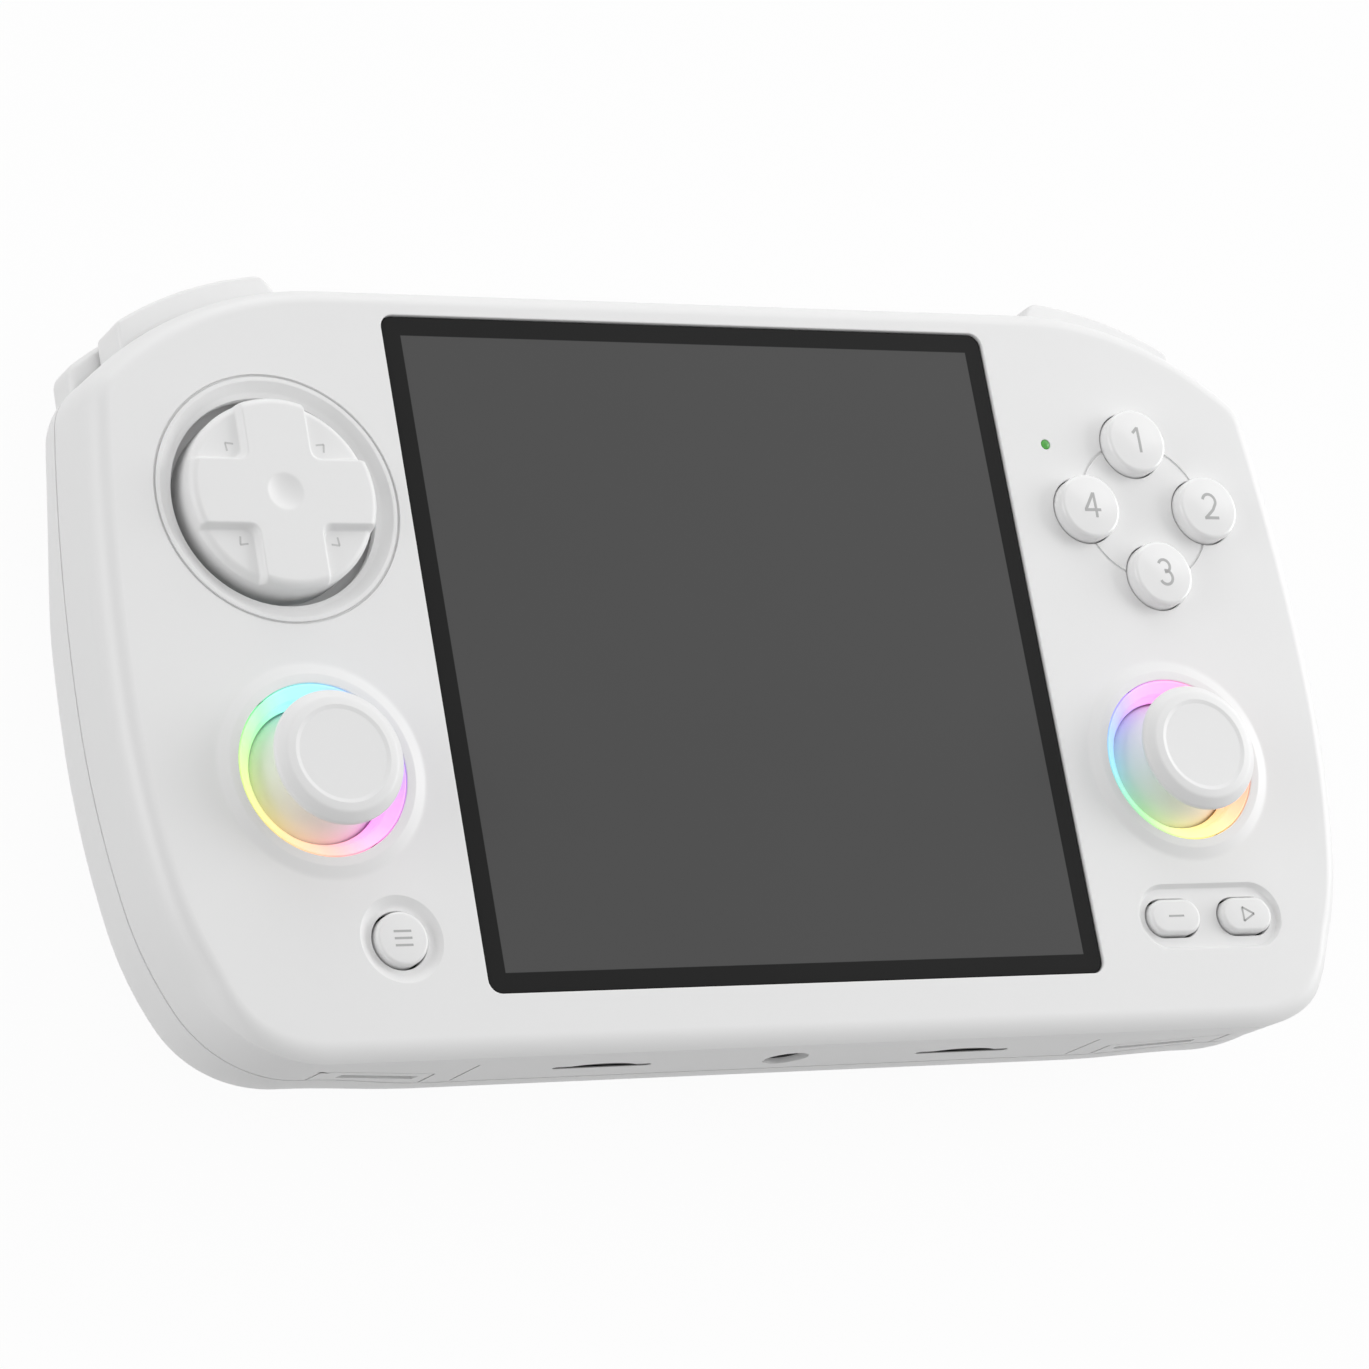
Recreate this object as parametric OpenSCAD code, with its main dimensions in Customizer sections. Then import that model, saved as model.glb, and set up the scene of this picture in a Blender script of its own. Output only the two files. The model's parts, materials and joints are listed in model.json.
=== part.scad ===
// Handheld game console with a square screen, lying on its back.
// Modules are drawn in face coordinates: x to the right and y towards the shoulder buttons from the
// middle of the screen, z outwards from the front face. At the end the whole is set on its grips.

/* [Body] */
// Width of the body
body_w = 149.6; // [149:0.2:165]
// Height of the body from the bottom wall to the top wall
body_h = 85.05; // [84.8:0.05:96]
// How far the middle of the screen lies above the middle of the body
screen_up = 1.07; // [0.4:0.01:1.6]
// Depth of the front shell, from the face to the parting line
front_depth = 9; // [8.8:0.1:12]
// Depth of the rear shell, from the parting line to the flat of the back
rear_depth = 11; // [10.5:0.5:16]
// Height of the two grip swells on the back
grip_h = 3.5; // [1:0.5:6]
// Thickness of the shell walls
wall = 2; // [1.8:0.1:2.2]
// Width of the rounded edge around the front face
edge_w = 2.4; // [2.2:0.1:3]
// Depth of the rounded edge around the front face
edge_d = 3.6; // [3.2:0.1:4]
// Lean of the front shell's walls, outwards to the parting line
draft = 0.2; // [0:0.05:0.4]
// Width of the rounding of the rear shell
rear_round = 9; // [8:0.5:11]
// Radius of the rounded top corners
top_corner_r = 40; // [36:1:42]
// Radius of the bottom corners
bottom_corner_r = 14.4; // [12:0.2:16]

/* [Screen] */
// Margin of the square cover glass to the top and the bottom of the body
glass_margin = 4.89; // [4.8:0.01:5.5]
// Thickness of the cover glass
glass_t = 0.8; // [0.6:0.05:0.9]
// Depth of the glass below the front face
glass_recess = 0.3; // [0.1:0.05:0.4]
// Thickness of the adhesive under the glass
adhesive_t = 0.15; // [0.1:0.05:0.2]
// Width of the ledge that carries the glass
ledge_w = 1.2; // [0.8:0.1:1.4]
// Thickness of the display panel
lcd_t = 2.4; // [2:0.1:2.8]
// Thickness of the display bracket
bracket_t = 0.5; // [0.3:0.1:0.8]

/* [Direction pad] */
// Place of the direction pad across the side strip, from the glass to the side
dpad_at = 0.4134; // [0.4:0.0002:0.44]
// Height of the direction pad above the middle of the screen, as a share of the body's height
dpad_up = 0.194; // [0.185:0.001:0.2]
// Radius of the direction pad's disc
dpad_r = 10.5; // [9.5:0.1:10.8]
// Gap around the disc in its well
dpad_gap = 1.1; // [0.9:0.1:1.3]
// Width of the dished band around the well
dpad_dish = 1.6; // [1:0.1:2]
// Height of the disc above the face
dpad_top = 1.2; // [0.8:0.1:1.6]
// Height of the raised cross above the disc
cross_h = 0.9; // [0.5:0.1:1.1]
// Width of the cross's arms
cross_w = 7; // [6:0.1:7.6]

/* [Face buttons] */
// Place of the face buttons' middle across the side strip, from the glass to the side
face_at = 0.4686; // [0.45:0.0002:0.48]
// Height of the face buttons' middle above the middle of the screen, as a share of the body's height
face_up = 0.1928; // [0.185:0.0002:0.2]
// Distance of each face button from their middle
face_pitch = 8; // [7.6:0.1:8.4]
// Radius of the holes for the face buttons
face_hole_r = 3.96; // [3.6:0.02:4.1]
// Height of the face buttons above the face
face_top = 1.9; // [1.4:0.1:2.4]
// Press travel of the face buttons
face_travel = 1; // [0.6:0.1:1.2]
// Place of the status light across the side strip, from the glass to the side
light_at = 0.1632; // [0.13:0.0002:0.165]
// Height of the status light above the middle of the screen, as a share of the body's height
light_up = 0.2869; // [0.28:0.0001:0.3]
// Radius of the status light
light_r = 0.55; // [0.4:0.05:0.8]

/* [Sticks] */
// Place of each stick across the side strip, from the glass to the side
stick_at = 0.4094; // [0.4:0.0002:0.42]
// Distance of the sticks below the middle of the screen, as a share of the body's height
stick_down = 0.1576; // [0.15:0.0002:0.16]
// Outer radius of the glowing ring
ring_r = 9.3; // [9:0.05:9.6]
// Width of the glowing ring
ring_w = 1.3; // [1:0.1:1.5]
// Outer radius of the raised collar around the ring
collar_r = 11.3; // [10.8:0.1:11.8]
// Height of the collar above the face
collar_h = 0.8; // [0.4:0.1:1]
// Radius of the stick caps
cap_r = 7.5; // [7:0.1:7.6]
// Height of the stick caps above the face
cap_top = 5.5; // [5:0.1:6.5]
// Radius of the rim of the dish in a cap
cap_dish_r = 5.4; // [4.8:0.1:5.8]
// Depth of the sticks' pivot below the face
pivot_d = 6.2; // [6:0.1:6.4]
// Radius of the round skirt under each cap
skirt_r = 8.3; // [8:0.1:8.5]

/* [Small buttons] */
// Place of the menu button across the side strip, from the glass to the side
menu_at = 0.2466; // [0.24:0.0002:0.26]
// Distance of the small buttons below the middle of the screen, as a share of the body's height
small_down = 0.3716; // [0.365:0.0002:0.374]
// Radius of the menu button's hole
menu_hole_r = 3.15; // [2.8:0.05:3.3]
// Radius of the dished recess around the menu button
menu_dish_r = 4.7; // [4.4:0.1:5]
// Place of the select and start pair across the side strip, from the glass to the side
pair_at = 0.4134; // [0.4:0.0002:0.43]
// Distance between the select and start buttons
pair_pitch = 9.54; // [9.4:0.02:10]
// Length of the select and start holes
pair_l = 7.1; // [6.6:0.1:7.2]
// Width of the select and start holes
pair_w = 4.5; // [4:0.1:4.7]
// Width of the recess around the pair
pair_rim = 1.58; // [1.3:0.02:1.8]
// Depth of the recesses around the small buttons
small_recess = 0.6; // [0.3:0.1:0.7]
// Press travel of the small buttons
small_travel = 0.7; // [0.4:0.1:0.8]

/* [Shoulder] */
// How far the bumpers stand out of the top wall
shoulder_out = 2.6; // [1.8:0.1:3.4]
// Depth of the bumpers' front face below the front face
bumper_d = 4.4; // [4.3:0.1:4.8]
// Thickness of the bumpers, front to back
bumper_t = 5.8; // [5.2:0.1:5.9]
// Thickness of the triggers, front to back
trigger_t = 5; // [4.4:0.1:5.2]
// Length of the bumpers along the top wall
bumper_l = 22; // [20:0.2:22.6]
// Length of the triggers along the top wall
trigger_l = 25.4; // [24:0.2:25.6]
// Radius of the shoulder pins
pin_r = 0.9; // [0.7:0.05:1]

/* [Ports] */
// Place of the memory card slots, from the middle to the lower case screws
card_at = 0.6133; // [0.58:0.0001:0.62]
// Width of the memory card slots
card_w = 11.2; // [11:0.1:12]
// Radius of the headphone plug's bore
jack_bore_r = 1.8; // [1.75:0.05:1.9]
// Radius of the headphone socket's nose
jack_nose_r = 2.4; // [2.3:0.05:2.6]
// How far the speakers reach past the straight of the bottom wall
speaker_past = 0.4; // [0.2:0.1:0.6]
// Width of the speakers
speaker_w = 17; // [15:0.5:17.5]
// Width of the speakers' slots
speaker_slot_w = 9.6; // [8:0.2:12]
// Distance of the charging socket from the middle of the body
usb_x = 8; // [7.6:0.2:12]
// Width of the charging socket
usb_w = 9; // [8.6:0.1:9.2]
// Height of the charging socket
usb_h = 3.2; // [3:0.1:3.3]
// Distance of the video socket from the middle of the body
video_x = 8; // [7.6:0.2:9]
// Width of the video socket
video_w = 11.2; // [10.6:0.1:11.8]
// Distance of the power button from the middle of the body
power_x = 26; // [24:0.2:28]
// Distance of the volume buttons' middle from the middle of the body
volume_x = 24.5; // [23:0.2:26]
// Distance between the two volume buttons
volume_pitch = 9; // [8.6:0.1:10]
// Length of the buttons on the top wall
edge_button_l = 6; // [5:0.1:6.4]
// Width of the buttons on the top wall
edge_button_w = 2.2; // [1.8:0.1:2.4]

/* [Inside] */
// Depth of the main board's front below the face
board_d = 8.2; // [8:0.1:8.4]
// Thickness of the main board
board_t = 1.2; // [1:0.1:1.4]
// Gap between the main board and each side of the body
board_side = 6.8; // [6.4:0.1:7.4]
// Width of the battery pack
battery_w = 54; // [40:1:58]
// Height of the battery pack
battery_h = 48; // [40:1:52]
// Thickness of the battery pack
battery_t = 5.5; // [4:0.1:5.8]
// Side of the stick housings
housing_w = 15.6; // [15.4:0.1:16]
// Radius of the case screws' shanks
screw_r = 1; // [0.8:0.05:1.1]

/* [Fits] */
// Clearance of pieces that are held still
fit = 0.1; // [0.05:0.05:0.15]
// Clearance around pieces that move
play = 0.25; // [0.2:0.05:0.3]

/* [Hidden] */
$fn = 48;
over = 1;

// Headings at which the outline changes radius, clockwise from the top wall
head_a = 42;
head_b = 83;
head_c = 90;
head_d = 100.2;
head_e = 118;
head_f = 180;
shoulder_r = 6;
low_side_r = 118;
low_flank_r = 38;
least_r = 0.5;
least_inner = 0.2;
edge_steps = 5;
rear_steps = 7;
floor_rings = [1, 0.93, 0.86, 0.79, 0.72, 0.64, 0.56, 0.45, 0.25, 0.08];

top_y = body_h / 2 - screen_up;
bottom_y = -body_h / 2 - screen_up;
front_z = front_depth + rear_depth + grip_h;
screen_y = screen_up - shoulder_out / 2;
inner_top = top_y - wall;
inner_bottom = bottom_y + wall;
floor_z = -front_depth - rear_depth + wall;

// Side strips beside the glass, and how much the controls grow against the sizes given above
glass_w = body_h - 2 * glass_margin;
strip = (body_w - glass_w) / 2;
drawn_strip = 37.165;
drawn_h = 85.05;
grow = round(1000 * min(strip / drawn_strip, body_h / drawn_h)) / 1000;
function strip_x(share) = glass_w / 2 + share * strip;
dpad_x = strip_x(dpad_at);
dpad_y = dpad_up * body_h;
face_x = strip_x(face_at);
face_y = face_up * body_h;
light_x = strip_x(light_at);
light_y = light_up * body_h;
stick_x = strip_x(stick_at);
stick_y = stick_down * body_h;
menu_x = strip_x(menu_at);
pair_x = strip_x(pair_at);
small_y = small_down * body_h;

// Screen stack
glass_z = -glass_recess - glass_t;
ledge_z = glass_z - adhesive_t;
window_w = glass_w - 2 * ledge_w;
lcd_w = window_w - 4 * fit;
lcd_back = glass_z - lcd_t;
bracket_back = lcd_back - bracket_t;
bracket_w = window_w;
ear_x = 15;
ear_w = 8;
ear_y = bracket_w / 2 + 1.3;
bracket_post_r = 1.25;
bracket_screw_r = 0.5;

// Buttons over the main board
board_z = -board_d;
board_back = board_z - board_t;
flange_t = 1.2;
flange_rim = 0.75;
flange_z = -wall - play;
sheet_t = 0.6;
sheet_z = board_z + sheet_t;
pressed_dome = 1.55;
face_foot_z = sheet_z + pressed_dome + face_travel;
small_foot_z = sheet_z + pressed_dome + small_travel;

// Direction pad
well_r = dpad_r + dpad_gap;
dpad_flange_r = well_r + 1;
dpad_flange_z = -wall - 1.2;
dpad_flange_t = 1;
dpad_back = dpad_flange_z - dpad_flange_t;
bead_r = 1.2;
bead_pin_r = bead_r / 2;
bead_z = dpad_back - bead_r / 2;

// Sticks
pivot_z = -pivot_d;
shaft_r = 1.5;
hub_r = 2;
cross_pin_r = 0.8;
rocker_x = 4.3;
rocker_y = 4.8;
rocker_t = 2.2;
rocker_gap_x = 2.9;
rocker_gap_y = 3.2;
upright_t = 1.6;
upright_w = 4.4;
cradle_t = 0.7;
cradle_z = pivot_z - 2.7;
housing_wall = 0.8;
click_gap = 0.6;
housing_floor = cradle_z - cradle_t - click_gap;
housing_top = pivot_z + 1;
ring_flange = 1.1;
ring_flange_t = 0.8;
skirt_t = 1;

// Shoulder buttons around the rounded top corner, which starts at corner_x
function rise(r, h0, h1) = r * (cos(h0) - cos(h1));
function run(r, h0, h1) = r * (sin(h1) - sin(h0));
function side_r(e) = (body_h - 2 * e - rise(max(top_corner_r - e, least_r), 0, head_a)
    - rise(max(shoulder_r - e, least_r), head_a, head_b) - rise(low_side_r - e, head_c, head_d)
    - rise(low_flank_r - e, head_d, head_e) - rise(max(bottom_corner_r - e, least_r), head_e, head_f))
    / cos(head_b);
function corner_start(e) = body_w / 2 - e - run(max(top_corner_r - e, least_r), 0, head_a)
    - run(max(shoulder_r - e, least_r), head_a, head_b) - run(side_r(e), head_b, head_c);
corner_x = corner_start(0);
corner_y = top_y - top_corner_r;
bumper_z = -bumper_d - bumper_t;
trigger_z = bumper_z - 2 * play;
trigger_back = trigger_z - trigger_t;
bumper_end = corner_x + bumper_l;
trigger_end = corner_x + trigger_l;
shoulder_in = 2.4;
shoulder_start = 2;
nub_x = corner_x + 13;
board_below = 11.455;
board_top = top_y - board_below;
switch_tip = board_top + 2.2;
nub_room = 1.6;
pin_y = inner_top - 4.4;
eye_r = 2.2;
boss_r = 2.4;
boss_x = window_w / 2 + boss_r + fit;
pin_x = max(corner_x + 1.2, boss_x + boss_r + eye_r + 2 * play);
arm_y = inner_top + 0.2;
pin_boss_r = 2;
pin_end = 1.4;

// Ports and buttons on the top wall
port_z = board_z + 0.8;
card_h = 1.6;
card_l = 15;
card_gap = 0.9;
card_side = 1.4;
jack_z = -7.3;
jack_l = 12;
jack_w = 6.4;
jack_h = 5;
nose_recess = 0.3;
usb_z = board_z + usb_h / 2;
usb_l = 8;
port_shell = 0.35;
edge_z = -6.6;
edge_out = 0.55;
edge_flange = 0.8;
edge_travel = 0.4;
flat_x = body_w / 2 + run(low_side_r, head_c, head_d) + run(low_flank_r, head_d, head_e)
    + run(bottom_corner_r, head_e, head_f);
speaker_l = grow * speaker_w;
speaker_x = flat_x + speaker_past - speaker_l / 2;
low_boss_x = speaker_x - speaker_l / 2 - boss_r - 1.2;
card_x = card_at * low_boss_x;
speaker_h = 6.3;
speaker_t = 4.2;
speaker_top = -4;
speaker_y = inner_bottom + 0.4;
speaker_slot_h = 1.8;
speaker_slot_z = -7.4;

// Bosses and posts
case_bosses = [for (sx = [-1, 1]) for (p = [[boss_x, inner_top - 2.8],
    [low_boss_x, inner_bottom + boss_r - 0.4]]) [sx * p[0], p[1]]];
head_r = 1.9;
head_t = 1.4;
seat_z = -front_depth - 4;
screw_l = 8;
post_r = 2;
board_w = body_w - 2 * board_side;
board_posts = [for (sx = [-1, 1]) for (p = [[glass_w / 2 + 2.6, 4], [glass_w / 2 + 2.6, -27],
    [board_w / 2 - 3.5, 0]]) [sx * p[0], p[1]]];
board_bottom = -bottom_y - wall - 5.595;
board_l = board_top + board_bottom;
board_r = 8;
tongue_w = 66;
tongue_top = inner_top - 2.455;
tongue_bottom = -inner_bottom - 0.8;

// Outline of the shells drawn in by e, as arcs by heading, clockwise from the middle of the top wall
function arc(p, r, h0, h1, n) =
    [for (i = [1:n]) let (h = h0 + (h1 - h0) * i / n) p + r * [sin(h) - sin(h0), cos(h) - cos(h0)]];
function last(a) = a[len(a) - 1];
function half_outline(e) =
    let (start = [corner_start(e), top_y - e])
    let (a = arc(start, max(top_corner_r - e, least_r), 0, head_a, 8))
    let (b = arc(last(a), max(shoulder_r - e, least_r), head_a, head_b, 3))
    let (c = arc(last(b), side_r(e), head_b, head_c, 6))
    let (d = arc(last(c), low_side_r - e, head_c, head_d, 4))
    let (f = arc(last(d), low_flank_r - e, head_d, head_e, 4))
    let (g = arc(last(f), max(bottom_corner_r - e, least_r), head_e, head_f, 8))
    concat([start], a, b, c, d, f, g);
function outline(e) =
    let (right = half_outline(e))
    concat(right, [for (i = [len(right) - 1:-1:0]) [-right[i][0], right[i][1]]]);
function level(points, z) = [for (p = points) [p[0], p[1], z]];
function drawn_in(points, s) =
    [for (p = points) [p[0] * s, -screen_up + (p[1] + screen_up) * s]];

// Swell of the back: 1 on the grips, 0 on the flat, with a level crown
function ease(a, b, v) = let (t = min(max((v - a) / (b - a), 0), 1)) t * t * (3 - 2 * t);
grip_inner = 34;
grip_outer = 52;
grip_high = 24;
grip_low = 0;
grip_crown = 1.3;
function swell(p) =
    grip_h * min(1, grip_crown * ease(grip_inner, grip_outer, abs(p[0])) * ease(grip_high, grip_low, p[1]));
function sunk(points, depth, bulge) =
    [for (p = points) [p[0], p[1], -front_depth - (depth + swell(p)) * bulge]];

// Solid between the first and last of a row of rings with equal counts
module loft(rings) {
    n = len(rings[0]);
    m = len(rings);
    points = [for (ring = rings) each ring];
    sides = [for (k = [0:m - 2]) for (i = [0:n - 1])
        let (a = k * n + i, b = (k + 1) * n + i, c = (k + 1) * n + (i + 1) % n, d = k * n + (i + 1) % n)
        each [[a, b, c], [a, c, d]]];
    first_cap = [for (i = [0:n - 1]) i];
    last_cap = [for (i = [n - 1:-1:0]) (m - 1) * n + i];
    polyhedron(points, concat([first_cap], sides, [last_cap]), convexity = 10);
}

module bar(l, w, h) {
    linear_extrude(h) {
        square([l - w, w], center = true);
        for (sx = [-1, 1])
            translate([sx * (l - w) / 2, 0])
                circle(d = w);
    }
}

module plate(w, l, r, h) {
    linear_extrude(h) {
        square([w - 2 * r, l], center = true);
        square([w, l - 2 * r], center = true);
        for (sx = [-1, 1]) for (sy = [-1, 1])
            translate([sx * (w / 2 - r), sy * (l / 2 - r)])
                circle(r);
    }
}

module block(x0, x1, y0, y1, z0, z1) {
    translate([x0, y0, z0])
        cube([x1 - x0, y1 - y0, z1 - z0]);
}

module rod(r, z0, z1) {
    translate([0, 0, z0])
        cylinder(r = r, h = z1 - z0);
}

module at_each(places) {
    for (p = places)
        translate([p[0], p[1], 0])
            children();
}

// One control at its place, grown with the side strip
module control(place) {
    translate([place[0], place[1], 0])
        scale([grow, grow, 1])
            children();
}

face_places = [for (a = [90, 0, 270, 180]) [face_x, face_y] + grow * face_pitch * [cos(a), sin(a)]];
pair_places = [for (sx = [-1, 1]) [pair_x + sx * grow * pair_pitch / 2, -small_y]];
stick_places = [for (sx = [-1, 1]) [sx * stick_x, -stick_y]];
edge_places = [power_x, -volume_x - volume_pitch / 2, -volume_x + volume_pitch / 2];

// Sector of a turned profile around the top right corner, between two angles from the top wall
module shoulder_sector(a0, a1, profile) {
    translate([corner_x, corner_y, 0])
        rotate([0, 0, 90 - a1])
            rotate_extrude(angle = a1 - a0, $fn = 180)
                polygon(profile);
}

// Band around the right corner that ends square to x, so that it swings in along its end
module shoulder_band(a0, end_x, profile) {
    past = 8;
    far = top_corner_r + shoulder_out;
    a1 = asin((end_x - corner_x) / far) + past;
    difference() {
        shoulder_sector(a0, a1, profile);
        block(end_x, end_x + far, corner_y, corner_y + 2 * far, trigger_back - over, 0);
    }
}

// Room for a bumper and a trigger in the wall of the right corner
module shoulder_window() {
    far = top_corner_r + shoulder_out + over;
    near = top_corner_r - wall - 3 * over;
    start = shoulder_start - 0.4;
    shoulder_band(start, bumper_end + play,
        [[near, bumper_z - play], [far, bumper_z - play], [far, -bumper_d + play],
         [near, -bumper_d + play]]);
    shoulder_band(start, trigger_end + play,
        [[near, trigger_back - play], [far, trigger_back - play], [far, bumper_z - play],
         [near, bumper_z - play]]);
}

// Room for the eyes that turn on the pin
module eye_room() {
    translate([pin_x, pin_y, 0])
        rod(eye_r + play, trigger_back - 2 * play, -bumper_d + 2 * play);
}

module shoulder_rooms() {
    for (m = [0, 1])
        mirror([m, 0, 0]) {
            shoulder_window();
            eye_room();
        }
}

module edge_cap(l, w, y0, y1) {
    translate([0, y1, edge_z])
        rotate([90, 0, 0])
            bar(l, w, y1 - y0);
}

module front_skin() {
    outside = [for (i = [0:edge_steps]) let (t = 90 - 90 * i / edge_steps)
        level(outline(draft + edge_w * (1 - cos(t))), -edge_d * (1 - sin(t)))];
    inner_w = max(edge_w - wall, least_inner);
    inside = [for (i = [0:edge_steps]) let (t = 90 * i / edge_steps)
        level(outline(draft + wall + inner_w * (1 - cos(t))), -edge_d + (edge_d - wall) * sin(t))];
    loft(concat(outside, [level(outline(0), -front_depth), level(outline(wall), -front_depth)], inside));
}

// Posts that come down from the inside of the face
module front_posts() {
    root = -wall + over / 2;
    at_each(case_bosses)
        rod(boss_r, -front_depth, root);
    at_each(board_posts)
        rod(post_r, board_z, root);
    for (sx = [-1, 1]) {
        translate([sx * pin_x, pin_y, 0])
            rod(pin_boss_r, -bumper_d, root);
        for (sy = [-1, 1])
            translate([sx * ear_x, sy * ear_y, 0])
                rod(bracket_post_r, lcd_back, root);
        for (side = [-1, 1])
            translate([sx * speaker_x + side * speaker_l / 3, speaker_y + speaker_t / 2, 0])
                block(-1, 1, -1, 1, speaker_top, root);
    }
}

// Collar with a sloped outside that runs on into the face
module stick_collar() {
    crest_r = ring_r + fit + 1;
    sunk_r = collar_r + (collar_r - crest_r) / collar_h * wall / 2;
    rotate_extrude($fn = 96)
        polygon([[ring_r, -wall / 2], [sunk_r, -wall / 2], [crest_r, collar_h], [ring_r, collar_h]]);
}

// Dished band from the edge of a round hole out to the face
module dish(hole_r, rim_r, depth) {
    past = over / 4;
    slope = (rim_r - hole_r) / depth;
    translate([0, 0, -depth - past])
        cylinder(r1 = hole_r - slope * past, r2 = rim_r + slope * past, h = depth + 2 * past);
}

// Hole for the headphone socket's nose, which crosses the parting line
module jack_hole() {
    translate([0, inner_bottom + over, jack_z])
        rotate([90, 0, 0])
            cylinder(r = jack_nose_r + fit, h = wall + 2 * over);
}

module front_cuts() {
    translate([0, 0, ledge_z])
        plate(glass_w + 2 * fit, glass_w + 2 * fit, 1, over + glass_w / 8);
    block(-window_w / 2, window_w / 2, -window_w / 2, window_w / 2, -wall - over, over);
    control([-dpad_x, dpad_y]) {
        rod(well_r, -wall - over, over);
        dish(well_r, well_r + dpad_dish, wall / 2);
    }
    for (p = face_places)
        control(p)
            rod(face_hole_r, -wall - over, over);
    control([light_x, light_y])
        rod(light_r + fit / 2, -wall - over, over);
    for (p = stick_places)
        control(p)
            rod(ring_r + fit, -wall - over, collar_h + over);
    control([-menu_x, -small_y]) {
        rod(menu_hole_r, -wall - over, over);
        dish(menu_hole_r, menu_dish_r, small_recess);
    }
    for (p = pair_places)
        control(p)
            translate([0, 0, -wall - over])
                bar(pair_l, pair_w, wall + 2 * over);
    control([pair_x, -small_y])
        translate([0, 0, -small_recess])
            bar(pair_pitch + pair_l + 2 * pair_rim - 0.8, pair_w + 2 * pair_rim, small_recess + over);
    at_each(case_bosses)
        rod(screw_r + fit / 2, seat_z, seat_z + screw_l + 0.6);
    at_each(board_posts)
        rod(bracket_screw_r + 0.2 + fit / 2, board_z - over, board_z + 3.4);
    for (sx = [-1, 1]) {
        translate([sx * pin_x, pin_y, 0])
            rod(pin_r + fit / 2, -bumper_d - over, -bumper_d + pin_end);
        for (sy = [-1, 1])
            translate([sx * ear_x, sy * ear_y, 0])
                rod(bracket_screw_r + fit / 2, lcd_back - over, lcd_back + 1.2);
    }
    for (sx = [-1, 1]) {
        translate([sx * speaker_x, bottom_y + wall, speaker_slot_z])
            rotate([90, 0, 0])
                translate([0, 0, -over])
                    bar(grow * speaker_slot_w, speaker_slot_h, wall + 2 * over);
        block(sx * card_x - card_w / 2 - play, sx * card_x + card_w / 2 + play, bottom_y - over,
              inner_bottom + over, port_z - card_gap / 2 - play, port_z + card_gap / 2 + play);
    }
    jack_hole();
    translate([usb_x, top_y + over, usb_z])
        rotate([90, 0, 0])
            bar(usb_w + 2 * fit, usb_h + 2 * fit, wall + 2 * over);
    translate([-video_x, top_y + over, usb_z])
        rotate([90, 0, 0])
            bar(video_w + 2 * fit, usb_h + 2 * fit, wall + 2 * over);
    for (x = edge_places)
        translate([x, 0, 0])
            edge_cap(edge_button_l + 2 * play, edge_button_w + 2 * play, inner_top - over, top_y + over);
    shoulder_rooms();
}

module front_shell() {
    color("#f2f2f0")
        difference() {
            union() {
                front_skin();
                front_posts();
                for (p = stick_places)
                    control(p)
                        stick_collar();
            }
            front_cuts();
        }
}

module rear_skin() {
    bend = [for (i = [0:rear_steps]) 90 * i / rear_steps];
    core = outline(rear_round);
    inner_core = outline(rear_round + wall);
    inner_floor = [for (i = [len(floor_rings) - 1:-1:1])
        sunk(drawn_in(inner_core, floor_rings[i]), rear_depth - wall, 1)];
    inside = [for (i = [rear_steps:-1:0])
        sunk(outline(wall + rear_round * (1 - cos(bend[i]))), rear_depth - wall, sin(bend[i]))];
    outside = [for (i = [0:rear_steps])
        sunk(outline(rear_round * (1 - cos(bend[i]))), rear_depth, sin(bend[i]))];
    outer_floor = [for (i = [1:len(floor_rings) - 1]) sunk(drawn_in(core, floor_rings[i]), rear_depth, 1)];
    loft(concat(inner_floor, inside, outside, outer_floor));
}

// Middle of the rear shell's wall, which the bosses inside reach down to
module rear_core() {
    half = wall / 2;
    loft([for (i = [0:rear_steps]) let (t = 90 * i / rear_steps)
        sunk(outline(half + rear_round * (1 - cos(t))), rear_depth - half, sin(t))]);
}

module rear_shell() {
    color("#ececea")
        difference() {
            union() {
                rear_skin();
                intersection() {
                    rear_core();
                    union() {
                        at_each(case_bosses)
                            rod(boss_r, floor_z - wall, -front_depth);
                        for (sx = [-1, 1])
                            translate([sx * pin_x, pin_y, 0])
                                rod(pin_boss_r, floor_z - wall, trigger_back);
                    }
                }
            }
            at_each(case_bosses) {
                rod(screw_r + fit, seat_z - over, -front_depth + over);
                rod(head_r + fit, floor_z - rear_depth, seat_z);
            }
            for (sx = [-1, 1])
                translate([sx * pin_x, pin_y, 0])
                    rod(pin_r + fit / 2, trigger_back - pin_end, trigger_back + over);
            jack_hole();
            shoulder_rooms();
        }
}

module screen_glass() {
    color("#202226")
        translate([0, 0, glass_z])
            plate(glass_w, glass_w, 1, glass_t);
}

module display_adhesive() {
    color("#303030")
        difference() {
            translate([0, 0, ledge_z])
                plate(glass_w - fit, glass_w - fit, 1, adhesive_t);
            block(-window_w / 2, window_w / 2, -window_w / 2, window_w / 2, ledge_z - over, over);
        }
}

module lcd_panel() {
    color("#4a4c50")
        block(-lcd_w / 2, lcd_w / 2, -lcd_w / 2, lcd_w / 2, lcd_back, glass_z);
}

cable_w = 14;
cable_t = 0.25;
cable_y = -24;

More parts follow.
